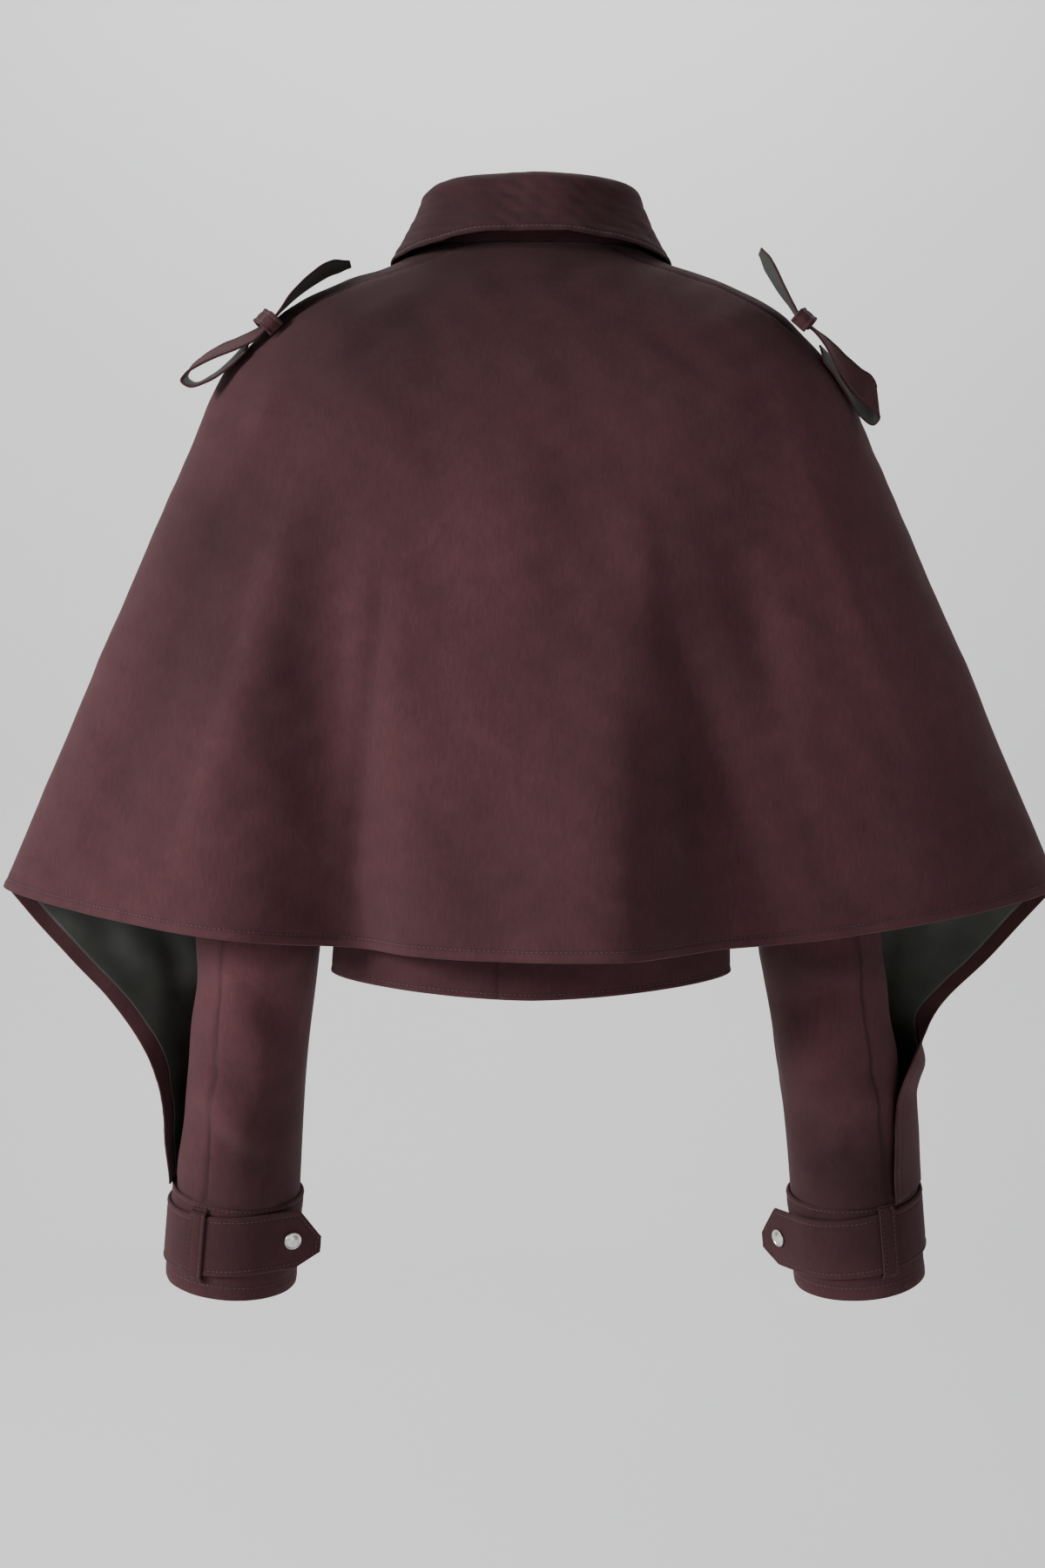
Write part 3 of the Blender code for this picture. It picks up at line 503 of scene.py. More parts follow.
def edge_distance(grid, *edges):
    """Length along the grid's lines from the nearest of these edges."""
    found = []
    for edge in edges:
        run = run_of(facing(grid, edge))
        run = run[::-1] if edge in ("bottom", "last") else run
        found.append(run.T if edge in ("first", "last") else run)
    return np.minimum.reduce(found)


def fade(grid, **reaches):
    """0 on these edges, 1 beyond each one's reach, so that raised panels still meet."""
    return math.prod(ease(edge_distance(grid, edge) / reach) for edge, reach in reaches.items())


def raised(grid, height):
    return grid + normals_of(grid) * height[..., None]


def hem_press(distance, stitch, waves=0.0):
    """Outer face near a sewn edge: a puffed fold, and the groove of its stitching."""
    puff = HEM_PUFF * bell(distance - 0.5 * stitch, 0.42 * stitch)
    groove = -STITCH_DEPTH * bell(distance - stitch, STITCH_GROOVE)
    return puff + groove + waves * np.exp(-distance / (2.2 * stitch))


def shade_of(height):
    """Painted light and shade from relief: 0.5 is even, painted light on ridges and painted shade in troughs
    and grooves.
    """
    return np.clip(0.5 + height / 0.006 * 0.16, 0.0, 1.0)


# ---------------------------------------------------------------- materials


def fill(tree, node, values):
    """Sets a node's inputs, or links those whose value is another node's output."""
    for name, value in values.items():
        if isinstance(value, bpy.types.NodeSocket):
            tree.links.new(value, node.inputs[name])
        else:
            node.inputs[name].default_value = value
    return node


def add(tree, kind, values):
    return fill(tree, tree.nodes.new("ShaderNode" + kind), values)


def new_material(name):
    made = bpy.data.materials.new(name)
    made.use_nodes = True
    return made, made.node_tree, made.node_tree.nodes["Principled BSDF"]


def in_place(tree, values):
    """The jacket's own space, turned or stretched."""
    place = tree.nodes.new("ShaderNodeTexCoord").outputs["Object"]
    return add(tree, "Mapping", {"Vector": place, **values}).outputs["Vector"]


def noise(tree, scale, detail, rough, stretch=(1.0, 1.0, 1.0)):
    where = in_place(tree, {"Scale": stretch})
    values = {"Scale": scale, "Detail": detail, "Roughness": rough, "Vector": where}
    return add(tree, "TexNoise", values).outputs["Fac"]


def rgba(colour):
    return (colour, colour, colour, 1.0) if isinstance(colour, float) else (*colour, 1.0)


def ramp(tree, value, stops):
    """Colours along a value, from stops that hold a place and a colour or a grey."""
    made = add(tree, "ValToRGB", {"Fac": value})
    elements = made.color_ramp.elements
    for k in (0, -1):
        elements[k].position = stops[k][0]
        elements[k].color = rgba(stops[k][1])
    for at, colour in stops[1:-1]:
        elements.new(at).color = rgba(colour)
    return made.outputs["Color"]


def times(tree, a, b):
    made = tree.nodes.new("ShaderNodeMix")
    made.data_type = "RGBA"
    made.blend_type = "MULTIPLY"
    return fill(tree, made, {"Factor": 1.0, "A": a, "B": b}).outputs["Result"]


def with_painted_light(tree, colour):
    """The colour, darker or lighter by the mesh's painted light attribute: painted shade below 0.5, painted
    light above.
    """
    painted_light = tree.nodes.new("ShaderNodeAttribute")
    painted_light.attribute_name = "painted_light"
    return times(tree, colour, ramp(tree, painted_light.outputs["Fac"], [(0.0, 0.45), (0.5, 1.0), (1.0, 1.5)]))


def bump(tree, height, strength, distance, **below):
    values = {"Strength": strength, "Distance": distance, "Height": height, **below}
    return add(tree, "Bump", values).outputs["Normal"]


def suede(name, dark, light, outside):
    """Nap brushed unevenly: soft cloudy patches, fine streaks and a fibrous surface."""
    made, tree, shader = new_material(name)
    cloudy = ramp(tree, noise(tree, 5.5, 2.0, 0.50), [(0.25, dark), (0.75, light)])
    patches = ramp(tree, noise(tree, 60.0, 5.0, 0.70), [(0.28, 0.90), (0.50, 1.0), (0.74, 1.10)])
    streaks = ramp(tree, noise(tree, 420.0, 3.0, 0.60, (1.0, 1.0, 0.28)), [(0.30, 0.90), (0.72, 1.10)])
    colour = times(tree, times(tree, cloudy, patches), streaks)
    fibres = bump(tree, noise(tree, 2600.0, 3.0, 0.65), 0.55, 0.00035)
    nap = noise(tree, 520.0, 4.0, 0.6, (1.0, 1.0, 0.4))
    look = {
        # The outer faces take the mesh's painted light and shade.
        "Base Color": with_painted_light(tree, colour) if outside else colour,
        "Normal": bump(tree, nap, 0.30, 0.0006, Normal=fibres),
        "Roughness": 0.94,
        "Specular IOR Level": 0.22,
        "Sheen Weight": 0.10,
        "Sheen Roughness": 0.45,
        "Sheen Tint": (0.62, 0.40, 0.42, 1.0),
    }
    fill(tree, shader, look)
    return made


def lining(name):
    """A close dark twill with a faint satin gloss."""
    made, tree, shader = new_material(name)
    dark, light = (0.0240, 0.0250, 0.0210), (0.0370, 0.0376, 0.0312)
    # Painted light and shade from the mesh, as on the suede.
    base = with_painted_light(tree, ramp(tree, noise(tree, 30.0, 3.0, 0.6), [(0.30, dark), (0.72, light)]))
    where = in_place(tree, {"Rotation": (0.0, TWILL_ANGLE, 0.0)})
    ribs = {"Scale": 420.0, "Distortion": 1.5, "Detail": 1.0, "Vector": where}
    weave = add(tree, "TexWave", ribs).outputs["Fac"]
    look = {
        "Base Color": times(tree, base, ramp(tree, weave, [(0.0, 0.80), (1.0, 1.15)])),
        "Normal": bump(tree, weave, 0.25, 0.0002),
        "Roughness": 0.62,
        "Specular IOR Level": 0.35,
        "Sheen Weight": 0.10,
        "Sheen Tint": (0.40, 0.42, 0.38, 1.0),
    }
    fill(tree, shader, look)
    return made


def thread_finish(name):
    made, tree, shader = new_material(name)
    dark, light = (0.029, 0.0115, 0.0135), (0.052, 0.022, 0.025)
    look = {
        "Base Color": ramp(tree, noise(tree, 700.0, 2.0, 0.6), [(0.30, dark), (0.72, light)]),
        "Normal": bump(tree, noise(tree, 3500.0, 2.0, 0.5), 0.4, 0.0001),
        "Roughness": 0.55,
        "Sheen Weight": 0.15,
    }
    fill(tree, shader, look)
    return made


def snap_finish(name):
    """Brushed nickel with fine scratches."""
    made, tree, shader = new_material(name)
    worn = noise(tree, 900.0, 3.0, 0.6, (1.0, 1.0, 6.0))
    look = {
        "Base Color": ramp(tree, worn, [(0.30, (0.50, 0.47, 0.45)), (0.72, (0.72, 0.69, 0.66))]),
        "Roughness": ramp(tree, worn, [(0.30, 0.22), (0.72, 0.38)]),
        "Normal": bump(tree, worn, 0.12, 0.0001),
        "Metallic": 1.0,
    }
    fill(tree, shader, look)
    return made


SUEDE = suede("suede_nap", (0.0470, 0.0160, 0.0195), (0.0590, 0.0212, 0.0252), True)
PLAIN_SUEDE = suede("suede_inside", (0.0425, 0.0150, 0.0182), (0.0540, 0.0196, 0.0234), False)
LINING = lining("dark_lining")
THREAD = thread_finish("sewing_thread")
METAL = snap_finish("snap_nickel")

# ---------------------------------------------------------------- meshes


def mirrored(grid, side):
    """The grid for the wearer's left, or its mirror image with the faces still turned outwards."""
    return grid if side > 0 else (grid * MIRROR)[:, ::-1]


def flipped(values, side):
    """Values of the unmirrored grid, in the order that mirroring gives its points."""
    return values if side > 0 else values[:, ::-1]


def sided(name, side):
    return name + ("_left" if side > 0 else "_right")


def finish_piece(name, points, faces, finishes, which, painted_light=None):
    """Makes the mesh object that rides on the one body."""
    mesh = bpy.data.meshes.new(name)
    mesh.from_pydata(points.tolist(), [], faces)
    for finish in finishes:
        mesh.materials.append(finish)
    mesh.polygons.foreach_set("material_index", which)
    # Painted light and shade per point, which the materials multiply into the colour.
    if painted_light is not None:
        shade = mesh.attributes.new("painted_light", "FLOAT", "POINT")
        shade.data.foreach_set("value", painted_light)
    mesh.update()
    mesh.shade_smooth()
    made = bpy.data.objects.new(name, mesh)
    bpy.context.collection.objects.link(made)
    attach(made, "root")
    return made


def border(rows, columns, closed):
    """Row and column of each point round the grid's rim, in the order that turns rim faces outwards."""
    last = rows - 1
    if closed:
        loops = [[(0, c) for c in range(columns)], [(last, c) for c in range(columns)][::-1]]
        return [loop + loop[:1] for loop in loops]
    loop = [(0, c) for c in range(columns)]
    loop += [(r, columns - 1) for r in range(1, rows)]
    loop += [(last, c) for c in range(columns - 2, -1, -1)]
    loop += [(r, 0) for r in range(last - 1, -1, -1)]
    return [loop]


def painted_shading(grid, normal):
    """Painted shade on faces turned up and on faces turned away from the key light, to the wearer's right,
    and the listed patches of painted light and shade.
    """
    shade = -0.16 * ease((normal[..., 2] - 0.10) / 0.60) - 0.10 * ease(-0.4 * normal[..., 0])
    for x, z, wide, tall, amount in PAINTED_LIGHT_PATCHES:
        shade += amount * bell(grid[..., 0] - x, wide) * bell(grid[..., 2] - z, tall)
    return shade


def rim_line(grid, r, c, closed):
    """Directions straight out of the grid's edges at these rows and columns."""
    last_row, last_column = grid.shape[0] - 1, grid.shape[1] - 1
    beyond = np.where((r == 0)[:, None], unit(grid[0, c] - grid[1, c]), 0.0)
    beyond += np.where((r == last_row)[:, None], unit(grid[-1, c] - grid[-2, c]), 0.0)
    if not closed:
        beyond += np.where((c == 0)[:, None], unit(grid[r, 0] - grid[r, 1]), 0.0)
        beyond += np.where((c == last_column)[:, None], unit(grid[r, -1] - grid[r, -2]), 0.0)
    return unit(beyond)


def shell(grid, normal, cloth, closed, outward, press, painted_light):
    """Points, faces, material of each face and painted light values of a cloth shell, and its outer face's
    points.
    """
    rows, columns = grid.shape[:2]
    inside = grid + normal * cloth * 0.5 * (outward - 1)
    outside = inside + normal * (cloth + np.broadcast_to(press, grid.shape[:2]))[..., None]
    under = rows * columns
    index = np.arange(under).reshape(rows, columns)
    wide = np.hstack([index, index[:, :1]]) if closed else index
    quads = np.stack([wide[:-1, :-1], wide[1:, :-1], wide[1:, 1:], wide[:-1, 1:]], axis=-1).reshape(-1, 4)
    faces = [*quads.tolist(), *(quads[:, ::-1] + under).tolist()]
    which = [0] * len(quads) + [1] * len(quads)
    points, painted_light_values = [outside.reshape(-1, 3), inside.reshape(-1, 3)], [painted_light.ravel(), painted_light.ravel()]
    start = 2 * under
    for loop in border(rows, columns, closed):
        r, c = np.array(loop).T
        points.append((outside[r, c] + inside[r, c]) / 2 + rim_line(grid, r, c, closed) * RIM_SHARE * cloth)
        painted_light_values.append(painted_light[r, c])
        along = index[r, c].tolist()
        for k, (a, b) in enumerate(zip(along, along[1:]), start):
            faces += [(a, b, k + 1, k), (k, k + 1, b + under, a + under)]
            which += [0, 0]
        start += len(loop)
    return np.vstack(points), faces, which, np.concatenate(painted_light_values), outside


def panel(node, grid, held, rests_on, inner, press=0.0, painted_light=0.5, cloth=CLOTH, closed=False, outward=1.0):
    """A cloth piece in a solid's place, and its outer face with the normals there.

    press moves the outer face alone, and painted_light paints light and shade on it. outward 1 builds the
    cloth on the grid,
    0 half on each side of it, and -1 behind it.
    """
    normal = normals_of(grid, closed)
    shades = np.clip(painted_light + painted_shading(grid, normal), 0.0, 1.0)
    points, faces, which, painted_light_values, outside = shell(grid, normal, cloth, closed, outward, press, shades)
    lined = node.startswith("lining")
    outer = LINING if lined else SUEDE
    made = finish_piece(node + "_cloth", points, faces, [outer, inner], which, painted_light_values)
    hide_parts(node)
    return outside, normal


# ---------------------------------------------------------------- sewing


def inset(outside, normal, edge, distance, span=(0.0, 1.0)):
    """A line on the outer face this far in from an edge, with its normals."""
    lines, ups = facing(outside, edge), facing(normal, edge)
    run = run_of(lines)
    last = lines.shape[1] - 1
    both = np.concatenate([lines, ups], axis=2)
    found = []
    for c in range(int(span[0] * last), int(span[1] * last) + 1):
        found.append([np.interp(distance, run[:, c], both[:, c, k]) for k in range(6)])
    return np.array(found)


def bead(centre, way, up, aside):
    """Rings of one stitch: a short dipped bead of thread."""
    turns = np.arange(BEAD_SIDES) * 2 * math.pi / BEAD_SIDES
    rings = []
    for along, size, height in BEAD:
        middle = centre + way * along * STITCH_PITCH * STITCH_SHARE
        middle = middle + up * THREAD_THICK * (height + THREAD_LIFT)
        round_it = np.outer(np.cos(turns), aside) + np.outer(np.sin(turns), up)
        rings.append(middle + round_it * THREAD_THICK * size)
    return rings


def sew(name, lines):
    """Topstitching along lines of points and normals."""
    points, faces = [], []
    for line in lines:
        run = lengths(line[:, :3])
        count = int(run[-1] / STITCH_PITCH)
        centres = (np.arange(count) + 0.5) * run[-1] / max(count, 1)
        place, ahead, behind = (
            np.column_stack([np.interp(centres + step, run, line[:, k]) for k in range(6)])
            for step in (0.0, 0.0006, -0.0006)
        )
        way, up = unit(ahead[:, :3] - behind[:, :3]), unit(place[:, 3:])
        aside = unit(np.cross(way, up))
        for k in range(count):
            base = len(points) * BEAD_SIDES
            points += bead(place[k, :3], way[k], up[k], aside[k])
            rings = [[base + r * BEAD_SIDES + s for s in range(BEAD_SIDES)] for r in range(len(BEAD))]
            for here, further in zip(rings, rings[1:]):
                for s in range(BEAD_SIDES):
                    n = (s + 1) % BEAD_SIDES
                    faces.append((here[s], here[n], further[n], further[s]))
            faces += [tuple(rings[0][::-1]), tuple(rings[-1])]
    made = finish_piece(name, np.vstack(points), faces, [THREAD], [0] * len(faces))


def topstitch(name, face, rows):
    """Sews an outer face along its edges. A row holds: edge, distance from it, share of its length."""
    sew(name, [inset(*face, edge, distance, span) for edge, distance, span in rows])


# ---------------------------------------------------------------- cape


def cape_fold_depth(x, z):
    depth = np.zeros_like(x)
    for top_x, top_z, hem_x, hem_depth, out_plus, out_minus in CAPE_FOLDS:
        down = np.clip((top_z - z) / (top_z - HEM_Z), 0.0, None)
        away = x - (top_x + (hem_x - top_x) * down)
        spread = np.where(away > 0, out_plus, out_minus) * (0.45 + 0.55 * ease(down))
        depth += hem_depth * ease(down * 0.9) * bell(away, spread)
    for blade_x, blade_z, height, radius in CAPE_BLADES:
        depth += height * bell(x - blade_x, radius) * bell(z - blade_z, radius)
    return depth


def cape_row(edge, back, power):
    """One row of the cape from the left overarm seam across the back to the right one."""
    angle = np.linspace(-0.5 * math.pi, 0.5 * math.pi, 1401)
    across = np.sign(angle) * np.abs(np.sin(angle)) ** (2 / power)
    out = np.clip(np.cos(angle), 0.0, 1.0) ** (2 / power)
    out[[0, -1]] = 0.0
    x = -edge[0] * across
    z = back[1] + (edge[2] - back[1]) * across**2
    y = edge[1] + (back[0] - edge[1]) * out
    y += cape_fold_depth(x, z) * (1 - np.abs(across) ** 5)
    return np.column_stack([x, y, z])


def cape_grid(shares, columns):
    edges, backs = path(OVERARM, shares), path(CAPE_CENTRE, shares)
    powers = curve(CAPE_SQUARENESS, shares)[:, 0]
    return np.array([sample(cape_row(*row), columns) for row in zip(edges, backs, powers)])


# ---------------------------------------------------------------- sleeves and wings

SEAM_LINE = path(OVERARM, np.linspace(1.0, 0.0, 900))


def arm_section(z, side):
    """Centre x, centre y, half width, half depth and seam angle of the sleeve at this height."""
    x, y, half, deep, seam = curve(ARM, z)[0]
    if side < 0:
        x += curve(RIGHT_ARM_OUT, z)[0, 0]
    return x, y, half, deep, min(seam, 90.0)


def arm_points(z, side, degrees):
    """Points of the sleeve tube: 0 is outwards, 90 the back, 180 the body, 270 the front."""
    x, y, half, deep, _seam = arm_section(z, side)
    turn = np.radians(np.atleast_1d(degrees))
    return np.column_stack([x + half * np.cos(turn), y + deep * np.sin(turn), np.full(len(turn), z)])


def sleeve_tilt(points, z, side):
    """Lowers the back of the lowest rows, so that they meet the tilted cuff."""
    share = ease((z - TILT_START_Z) / (CUFF_SEAM_Z - TILT_START_Z))
    x, y = arm_section(z, side)[:2]
    points[:, 2] += share * (CUFF_LEAN * (points[:, 0] - x) - math.tan(CUFF_TILT) * (points[:, 1] - y))
    return points


def turned_in(z, side):
    """How far the front panel's edge is turned in behind the arm: the right one is, low down."""
    return ease((CURL_START_Z - z) / 0.050) if side < 0 else 0.0


def wing_edge(z, side):
    """Outer edge of the front panel: on the overarm seam, then along its own hem to the cuff."""
    if z >= TIP_Z:
        return np.array([*(np.interp(z, SEAM_LINE[:, 2], SEAM_LINE[:, k]) for k in (0, 1)), z])
    x, y, half, deep, _seam = arm_section(z, side)
    edge_x = curve(WING_HEM, z)[0, 0 if side > 0 else 1]
    down = ease((TIP_Z - z) / (TIP_Z - CUFF_SEAM_Z))
    curl = turned_in(z, side)
    flat = np.array([max(edge_x, x + half), -0.018 + (y + 0.012 + 0.018) * down, z])
    round_x = min((edge_x - x) / (half + CURL_CLEAR), 1.0)
    behind = max(0.041, (deep + CURL_CLEAR) * math.sqrt(1.0 - round_x**2))
    return flat + (np.array([edge_x, y + behind, z]) - flat) * curl


def wing_row(z, side):
    """Front panel at one height: from the armhole or inner seam round the arm's front to the edge."""
    x, _y, half, deep, seam = arm_section(z, side)
    arc = arm_points(z, side, np.linspace(270.0 - seam, WING_LEAVES, 90))
    edge = wing_edge(z, side)
    turn = math.radians(WING_LEAVES)
    away = unit(np.array([-half * math.sin(turn), deep * math.cos(turn), 0.0]))
    spare = ease((edge[0] - (x + half)) / 0.050)
    curl = turned_in(z, side)
    arrive = unit(np.array([spare - 0.80 * curl, 0.25 + 0.75 * (1 - spare), 0.0]))
    apart = np.linalg.norm(edge - arc[-1])
    leaving = arc[-1] + away * (0.38 + 0.17 * curl) * apart
    ends = (arc[-1], leaving, edge - arrive * (0.38 + 0.24 * curl) * apart, edge)
    return np.vstack([arc, bezier(*ends, 120)[1:]])


def wing_seam(row, z, side):
    """Length along a wing row at which the under sleeve is sewn on."""
    x, _y, half, _deep, _seam = arm_section(z, side)
    keys = lengths(row)
    beyond = np.nonzero(row[:, 0] > x + 0.80 * half)[0]
    sewn = keys[beyond[0]] if len(beyond) else keys[-1] - 0.022
    return max(min(sewn, keys[-1] - 0.018), 0.4 * keys[-1]), keys[-1]


def wing_rows(side, heights, arm_columns, wing_columns):
    """Wing panel rows with a column on the outer seam, and finer columns along the edge."""
    rows = []
    for z in heights:
        row = wing_row(z, side)
        sewn, total = wing_seam(row, z, side)
        first = np.linspace(0.0, sewn, arm_columns)
        rest = sewn + (total - sewn) * far_end(wing_columns)
        rows.append(sample(row, np.concatenate([first, rest[1:]]) / total))
    return np.array(rows)


def inwards(row, index):
    """Level direction from a point of a wing row towards the back of the wing."""
    run = row[index + 1] - row[index - 1]
    return unit(np.array([-run[1], run[0], 0.0]))


def under_row(z, side, columns):
    """Under sleeve at one height: from the outer seam round the arm's back to the body side."""
    _x, _y, half, deep, seam = arm_section(z, side)
    front = wing_row(z, side)
    sewn, total = wing_seam(front, z, side)
    near = sample(front, np.array([sewn - 0.002, sewn, sewn + 0.002]) / total)
    inward = inwards(near, 1)
    seam_end = near[1] + inward * SLEEVE_CLEAR
    arc = arm_points(z, side, np.linspace(UNDER_LEAVES, 90.0 + seam, 160))
    turn = math.radians(UNDER_LEAVES)
    away = unit(np.array([half * math.sin(turn), -deep * math.cos(turn), 0.0]))
    reach = 0.36 * np.linalg.norm(seam_end - arc[0])
    curved = bezier(seam_end, seam_end + inward * reach, arc[0] + away * reach, arc[0], 70)
    return sample(np.vstack([curved[:-1], arc]), columns)


# ---------------------------------------------------------------- body


def body_edges(shares, back, side):
    """Edge of a body panel: shoulder seam, armhole and side seam, the shares of the way down."""
    found = []
    for share in shares:
        if share < SHOULDER_END:
            x, y, z = path(OVERARM, SHOULDER_SHARE * share / SHOULDER_END)[0]
            found.append((x, y + 0.002, z - BACK_BELOW) if back else (x, y, z))
        elif share < ARMHOLE_END:
            t = (share - SHOULDER_END) / (ARMHOLE_END - SHOULDER_END)
            z = ARMHOLE_TOP_Z + (UNDERARM_Z - ARMHOLE_TOP_Z) * t
            seam = arm_section(z, side)[4]
            point = arm_points(z, side, 90.0 + seam if back else 270.0 - seam)[0]
            found.append(point - np.array([0.0, 0.0, BACK_BELOW * (1 - t) if back else 0.0]))
        else:
            found.append(path(SIDE_SEAM, (share - ARMHOLE_END) / (1 - ARMHOLE_END))[0])
    return np.array(found)


def half_row(edge, y, z):
    """Half a body row, from its side edge to the centre."""
    angle = np.linspace(0.0, 0.5 * math.pi, 400)
    across = np.clip(np.cos(angle), 0.0, 1.0) ** (2 / BODY_SQUARENESS)
    across[-1] = 0.0
    out = np.sin(angle) ** (2 / BODY_SQUARENESS)
    height = z + (edge[2] - z) * across**1.6
    return np.column_stack([edge[0] * across, edge[1] + (y - edge[1]) * out, height])


def body_back_grid(shares, columns):
    """Rows from the left edge across the back to the right edge."""
    left, right = body_edges(shares, True, 1), body_edges(shares, True, -1)
    rows = []
    for one, other, (y, z) in zip(left, right, path(BODY_BACK_CENTRE, shares)):
        far = (half_row(other, y, z) * MIRROR)[::-1][1:]
        rows.append(sample(np.vstack([half_row(one, y, z), far]), columns))
    return np.array(rows)


def lap(points, side):
    """Lifts the right front over the left one near the centre."""
    if side > 0:
        return points
    lifted = np.array(points)
    near = ease((0.060 - lifted[..., 0]) / 0.040)
    lifted[..., 1] -= LAP_LIFT * near
    return lifted


def front_row(edge, y, z):
    half = half_row(edge, y, z)
    past = half[-2::-1] * MIRROR
    return np.vstack([half, past[past[:, 0] > -FRONT_OVERLAP]])


def body_front_grid(side, shares, columns):
    """Rows from the front edge, which passes the centre by the overlap, to the side edge."""
    edges = body_edges(shares, False, side)
    rows = []
    for edge, (y, z) in zip(edges, path(BODY_FRONT_CENTRE, shares)):
        rows.append(lap(sample(front_row(edge, y, z), columns), side))
    return np.array(rows)[:, ::-1]


def hem_band_grid(rows, columns):
    """The band below the body: left front edge, round the back, to the right front edge."""
    last = np.array([1.0])
    (front_y, front_z), (back_y, back_z) = path(BODY_FRONT_CENTRE, last)[0], path(BODY_BACK_CENTRE, last)[0]
    front = front_row(body_edges(last, False, 1)[0], front_y, front_z)
    half = half_row(body_edges(last, True, 1)[0], back_y, back_z)
    line = np.vstack([front[::-1], half, (half * MIRROR)[::-1][1:], lap(front, -1) * MIRROR])
    top = sample(line, columns)
    low = top * BAND_FLARE - np.array([0.0, 0.0, BAND_HEIGHT])
    return top + (low - top) * rows[:, None, None]


# ---------------------------------------------------------------- collar


def neck_at(degrees):
    """x, y, foot z and top z of the collar stand, these angles round from the centre back."""
    found = curve(NECK, np.abs(degrees))
    found[:, 0] *= np.sign(degrees)
    return found


def neck_frame(degrees):
    """The neck line's points there, and the level directions straight out of it."""
    here = neck_at(degrees)
    run = unit(neck_at(degrees + 2.0)[:, :2] - neck_at(degrees - 2.0)[:, :2])
    return here, np.column_stack([-run[:, 1], run[:, 0]])


def at_sides(degrees):
    """1 at the sides of the neck, fading to the back and the front."""
    return bell(np.abs(degrees) - 90.0, 45.0)


def stand_grid(rows, turns):
    here, out = neck_frame(turns)
    lean = (STAND_LEAN + SIDE_LEAN * at_sides(turns))[:, None]
    found = []
    for up in rows:
        place = here[:, :2] - out * lean * up
        height = here[:, 2] + STAND_CLEAR + (here[:, 3] - here[:, 2] - STAND_CLEAR) * up
        found.append(np.column_stack([place, height]))
    return np.array(found)[::-1]


def fall_grid(rows, turns):
    here, out = neck_frame(turns)
    pointed = 0.90 + 0.17 * ease(np.abs(turns) / 80.0) + 0.23 * ease((np.abs(turns) - 125.0) / 45.0)
    sides = at_sides(turns)
    found = []
    for outward, upward in path(FALL_SECTION, rows):
        spread = outward + FALL_FLARE * max(outward - FALL_ROLL, 0.0) * sides
        place = here[:, :2] + out * (spread - STAND_LEAN - SIDE_LEAN * sides)[:, None]
        found.append(np.column_stack([place, here[:, 3] + upward * (pointed if upward < 0 else 1.0)]))
    return np.array(found)


# ---------------------------------------------------------------- cuffs


def cuff_frame(side):
    """Centre of the cuff's top, and its outward, backward and downward directions."""
    x, y = arm_section(CUFF_SEAM_Z, side)[:2]
    down = unit(np.array([CUFF_LEAN, -math.sin(CUFF_TILT), -math.cos(CUFF_TILT)]))
    back = np.array([0.0, math.cos(CUFF_TILT), -math.sin(CUFF_TILT)])
    out = np.cross(back, down)
    out *= math.copysign(1.0, out[0])
    return np.array([x, y, CUFF_SEAM_Z - 0.0006]), out, back, down


def cuff_points(side, degrees, radius, drop):
    """Points round the cuff's axis, by angle, radius and drop below the cuff's seam."""
    centre, out, back, down = cuff_frame(side)
    turn = np.radians(degrees)
    flat = np.outer(radius * np.cos(turn), out) + np.outer(radius * np.sin(turn), back)
    return centre + flat + np.outer(np.broadcast_to(drop, np.shape(turn)), down)


def strap_middle(side, u):
    """How far below the cuff's seam the strap's middle runs; it sits a little askew."""
    return STRAP_DROP + 0.5 * STRAP_WIDTH + STRAP_RISE[side] * u / STRAP_RADIUS


def strap_grid(side, rows, columns):
    centre, out, back, down = cuff_frame(side)
    turns = np.radians(np.linspace(STRAP_START, LEAVE[side], 300))
    line = np.column_stack([np.cos(turns), np.sin(turns)]) * STRAP_RADIUS
    away = np.array([-math.sin(turns[-1]), math.cos(turns[-1])])
    tab = line[-1] + np.outer(np.linspace(0.0, 1.0, 60)[1:], away) * STRAP_TAB
    line = sample(np.vstack([line, tab]), columns)
    left = lengths(line)[-1] - lengths(line)
    pointed = np.clip(1.0 - left / TAB_POINT, 0.0, 1.0)
    narrow = 0.5 * STRAP_WIDTH * (1.0 - 0.74 * pointed)
    middle = centre + np.outer(line[:, 0], out) + np.outer(line[:, 1], back)
    drops = strap_middle(side, line[:, 0]) + 0.007 * pointed + (rows[:, None] * 2 - 1) * narrow
    return middle[None] + drops[..., None] * down


def snap_place(side):
    """Middle of the snap on the tab's outer face, and the direction it faces."""
    centre, out, back, down = cuff_frame(side)
    turn = math.radians(LEAVE[side])
    face = out * math.cos(turn) + back * math.sin(turn)
    away = out * -math.sin(turn) + back * math.cos(turn)
    start = centre + face * STRAP_RADIUS
    drop = strap_middle(side, STRAP_RADIUS * math.cos(turn) - SNAP_ALONG * math.sin(turn))
    return start + away * SNAP_ALONG + down * drop + face * (DOUBLE_CLOTH + SET_GAP), face, away, down


def carrier_grid(side, rows, columns):
    """A narrow upright loop over the strap, its ends turned in to the cuff."""
    half = math.degrees(0.5 * CARRIER_WIDTH / STRAP_RADIUS)
    over = STRAP_RADIUS + DOUBLE_CLOTH + LAYER_GAP
    near = CUFF_RADIUS + DOUBLE_CLOTH + SET_GAP
    high = strap_middle(side, STRAP_RADIUS * math.cos(math.radians(CARRIER_TURN[side]))) - 0.5 * STRAP_WIDTH
    low = high + STRAP_WIDTH
    section = [
        (near, high - 0.0055),
        (near, high - 0.0028),
        (over, high - 0.0022),
        (over, low + 0.0022),
        (near, low + 0.0028),
        (near, low + 0.0055),
    ]
    turns = CARRIER_TURN[side] + np.linspace(-half, half, columns)
    line = sample(np.array(section), rows)
    return np.array([cuff_points(side, turns, radius, drop) for radius, drop in line])


# ---------------------------------------------------------------- epaulettes


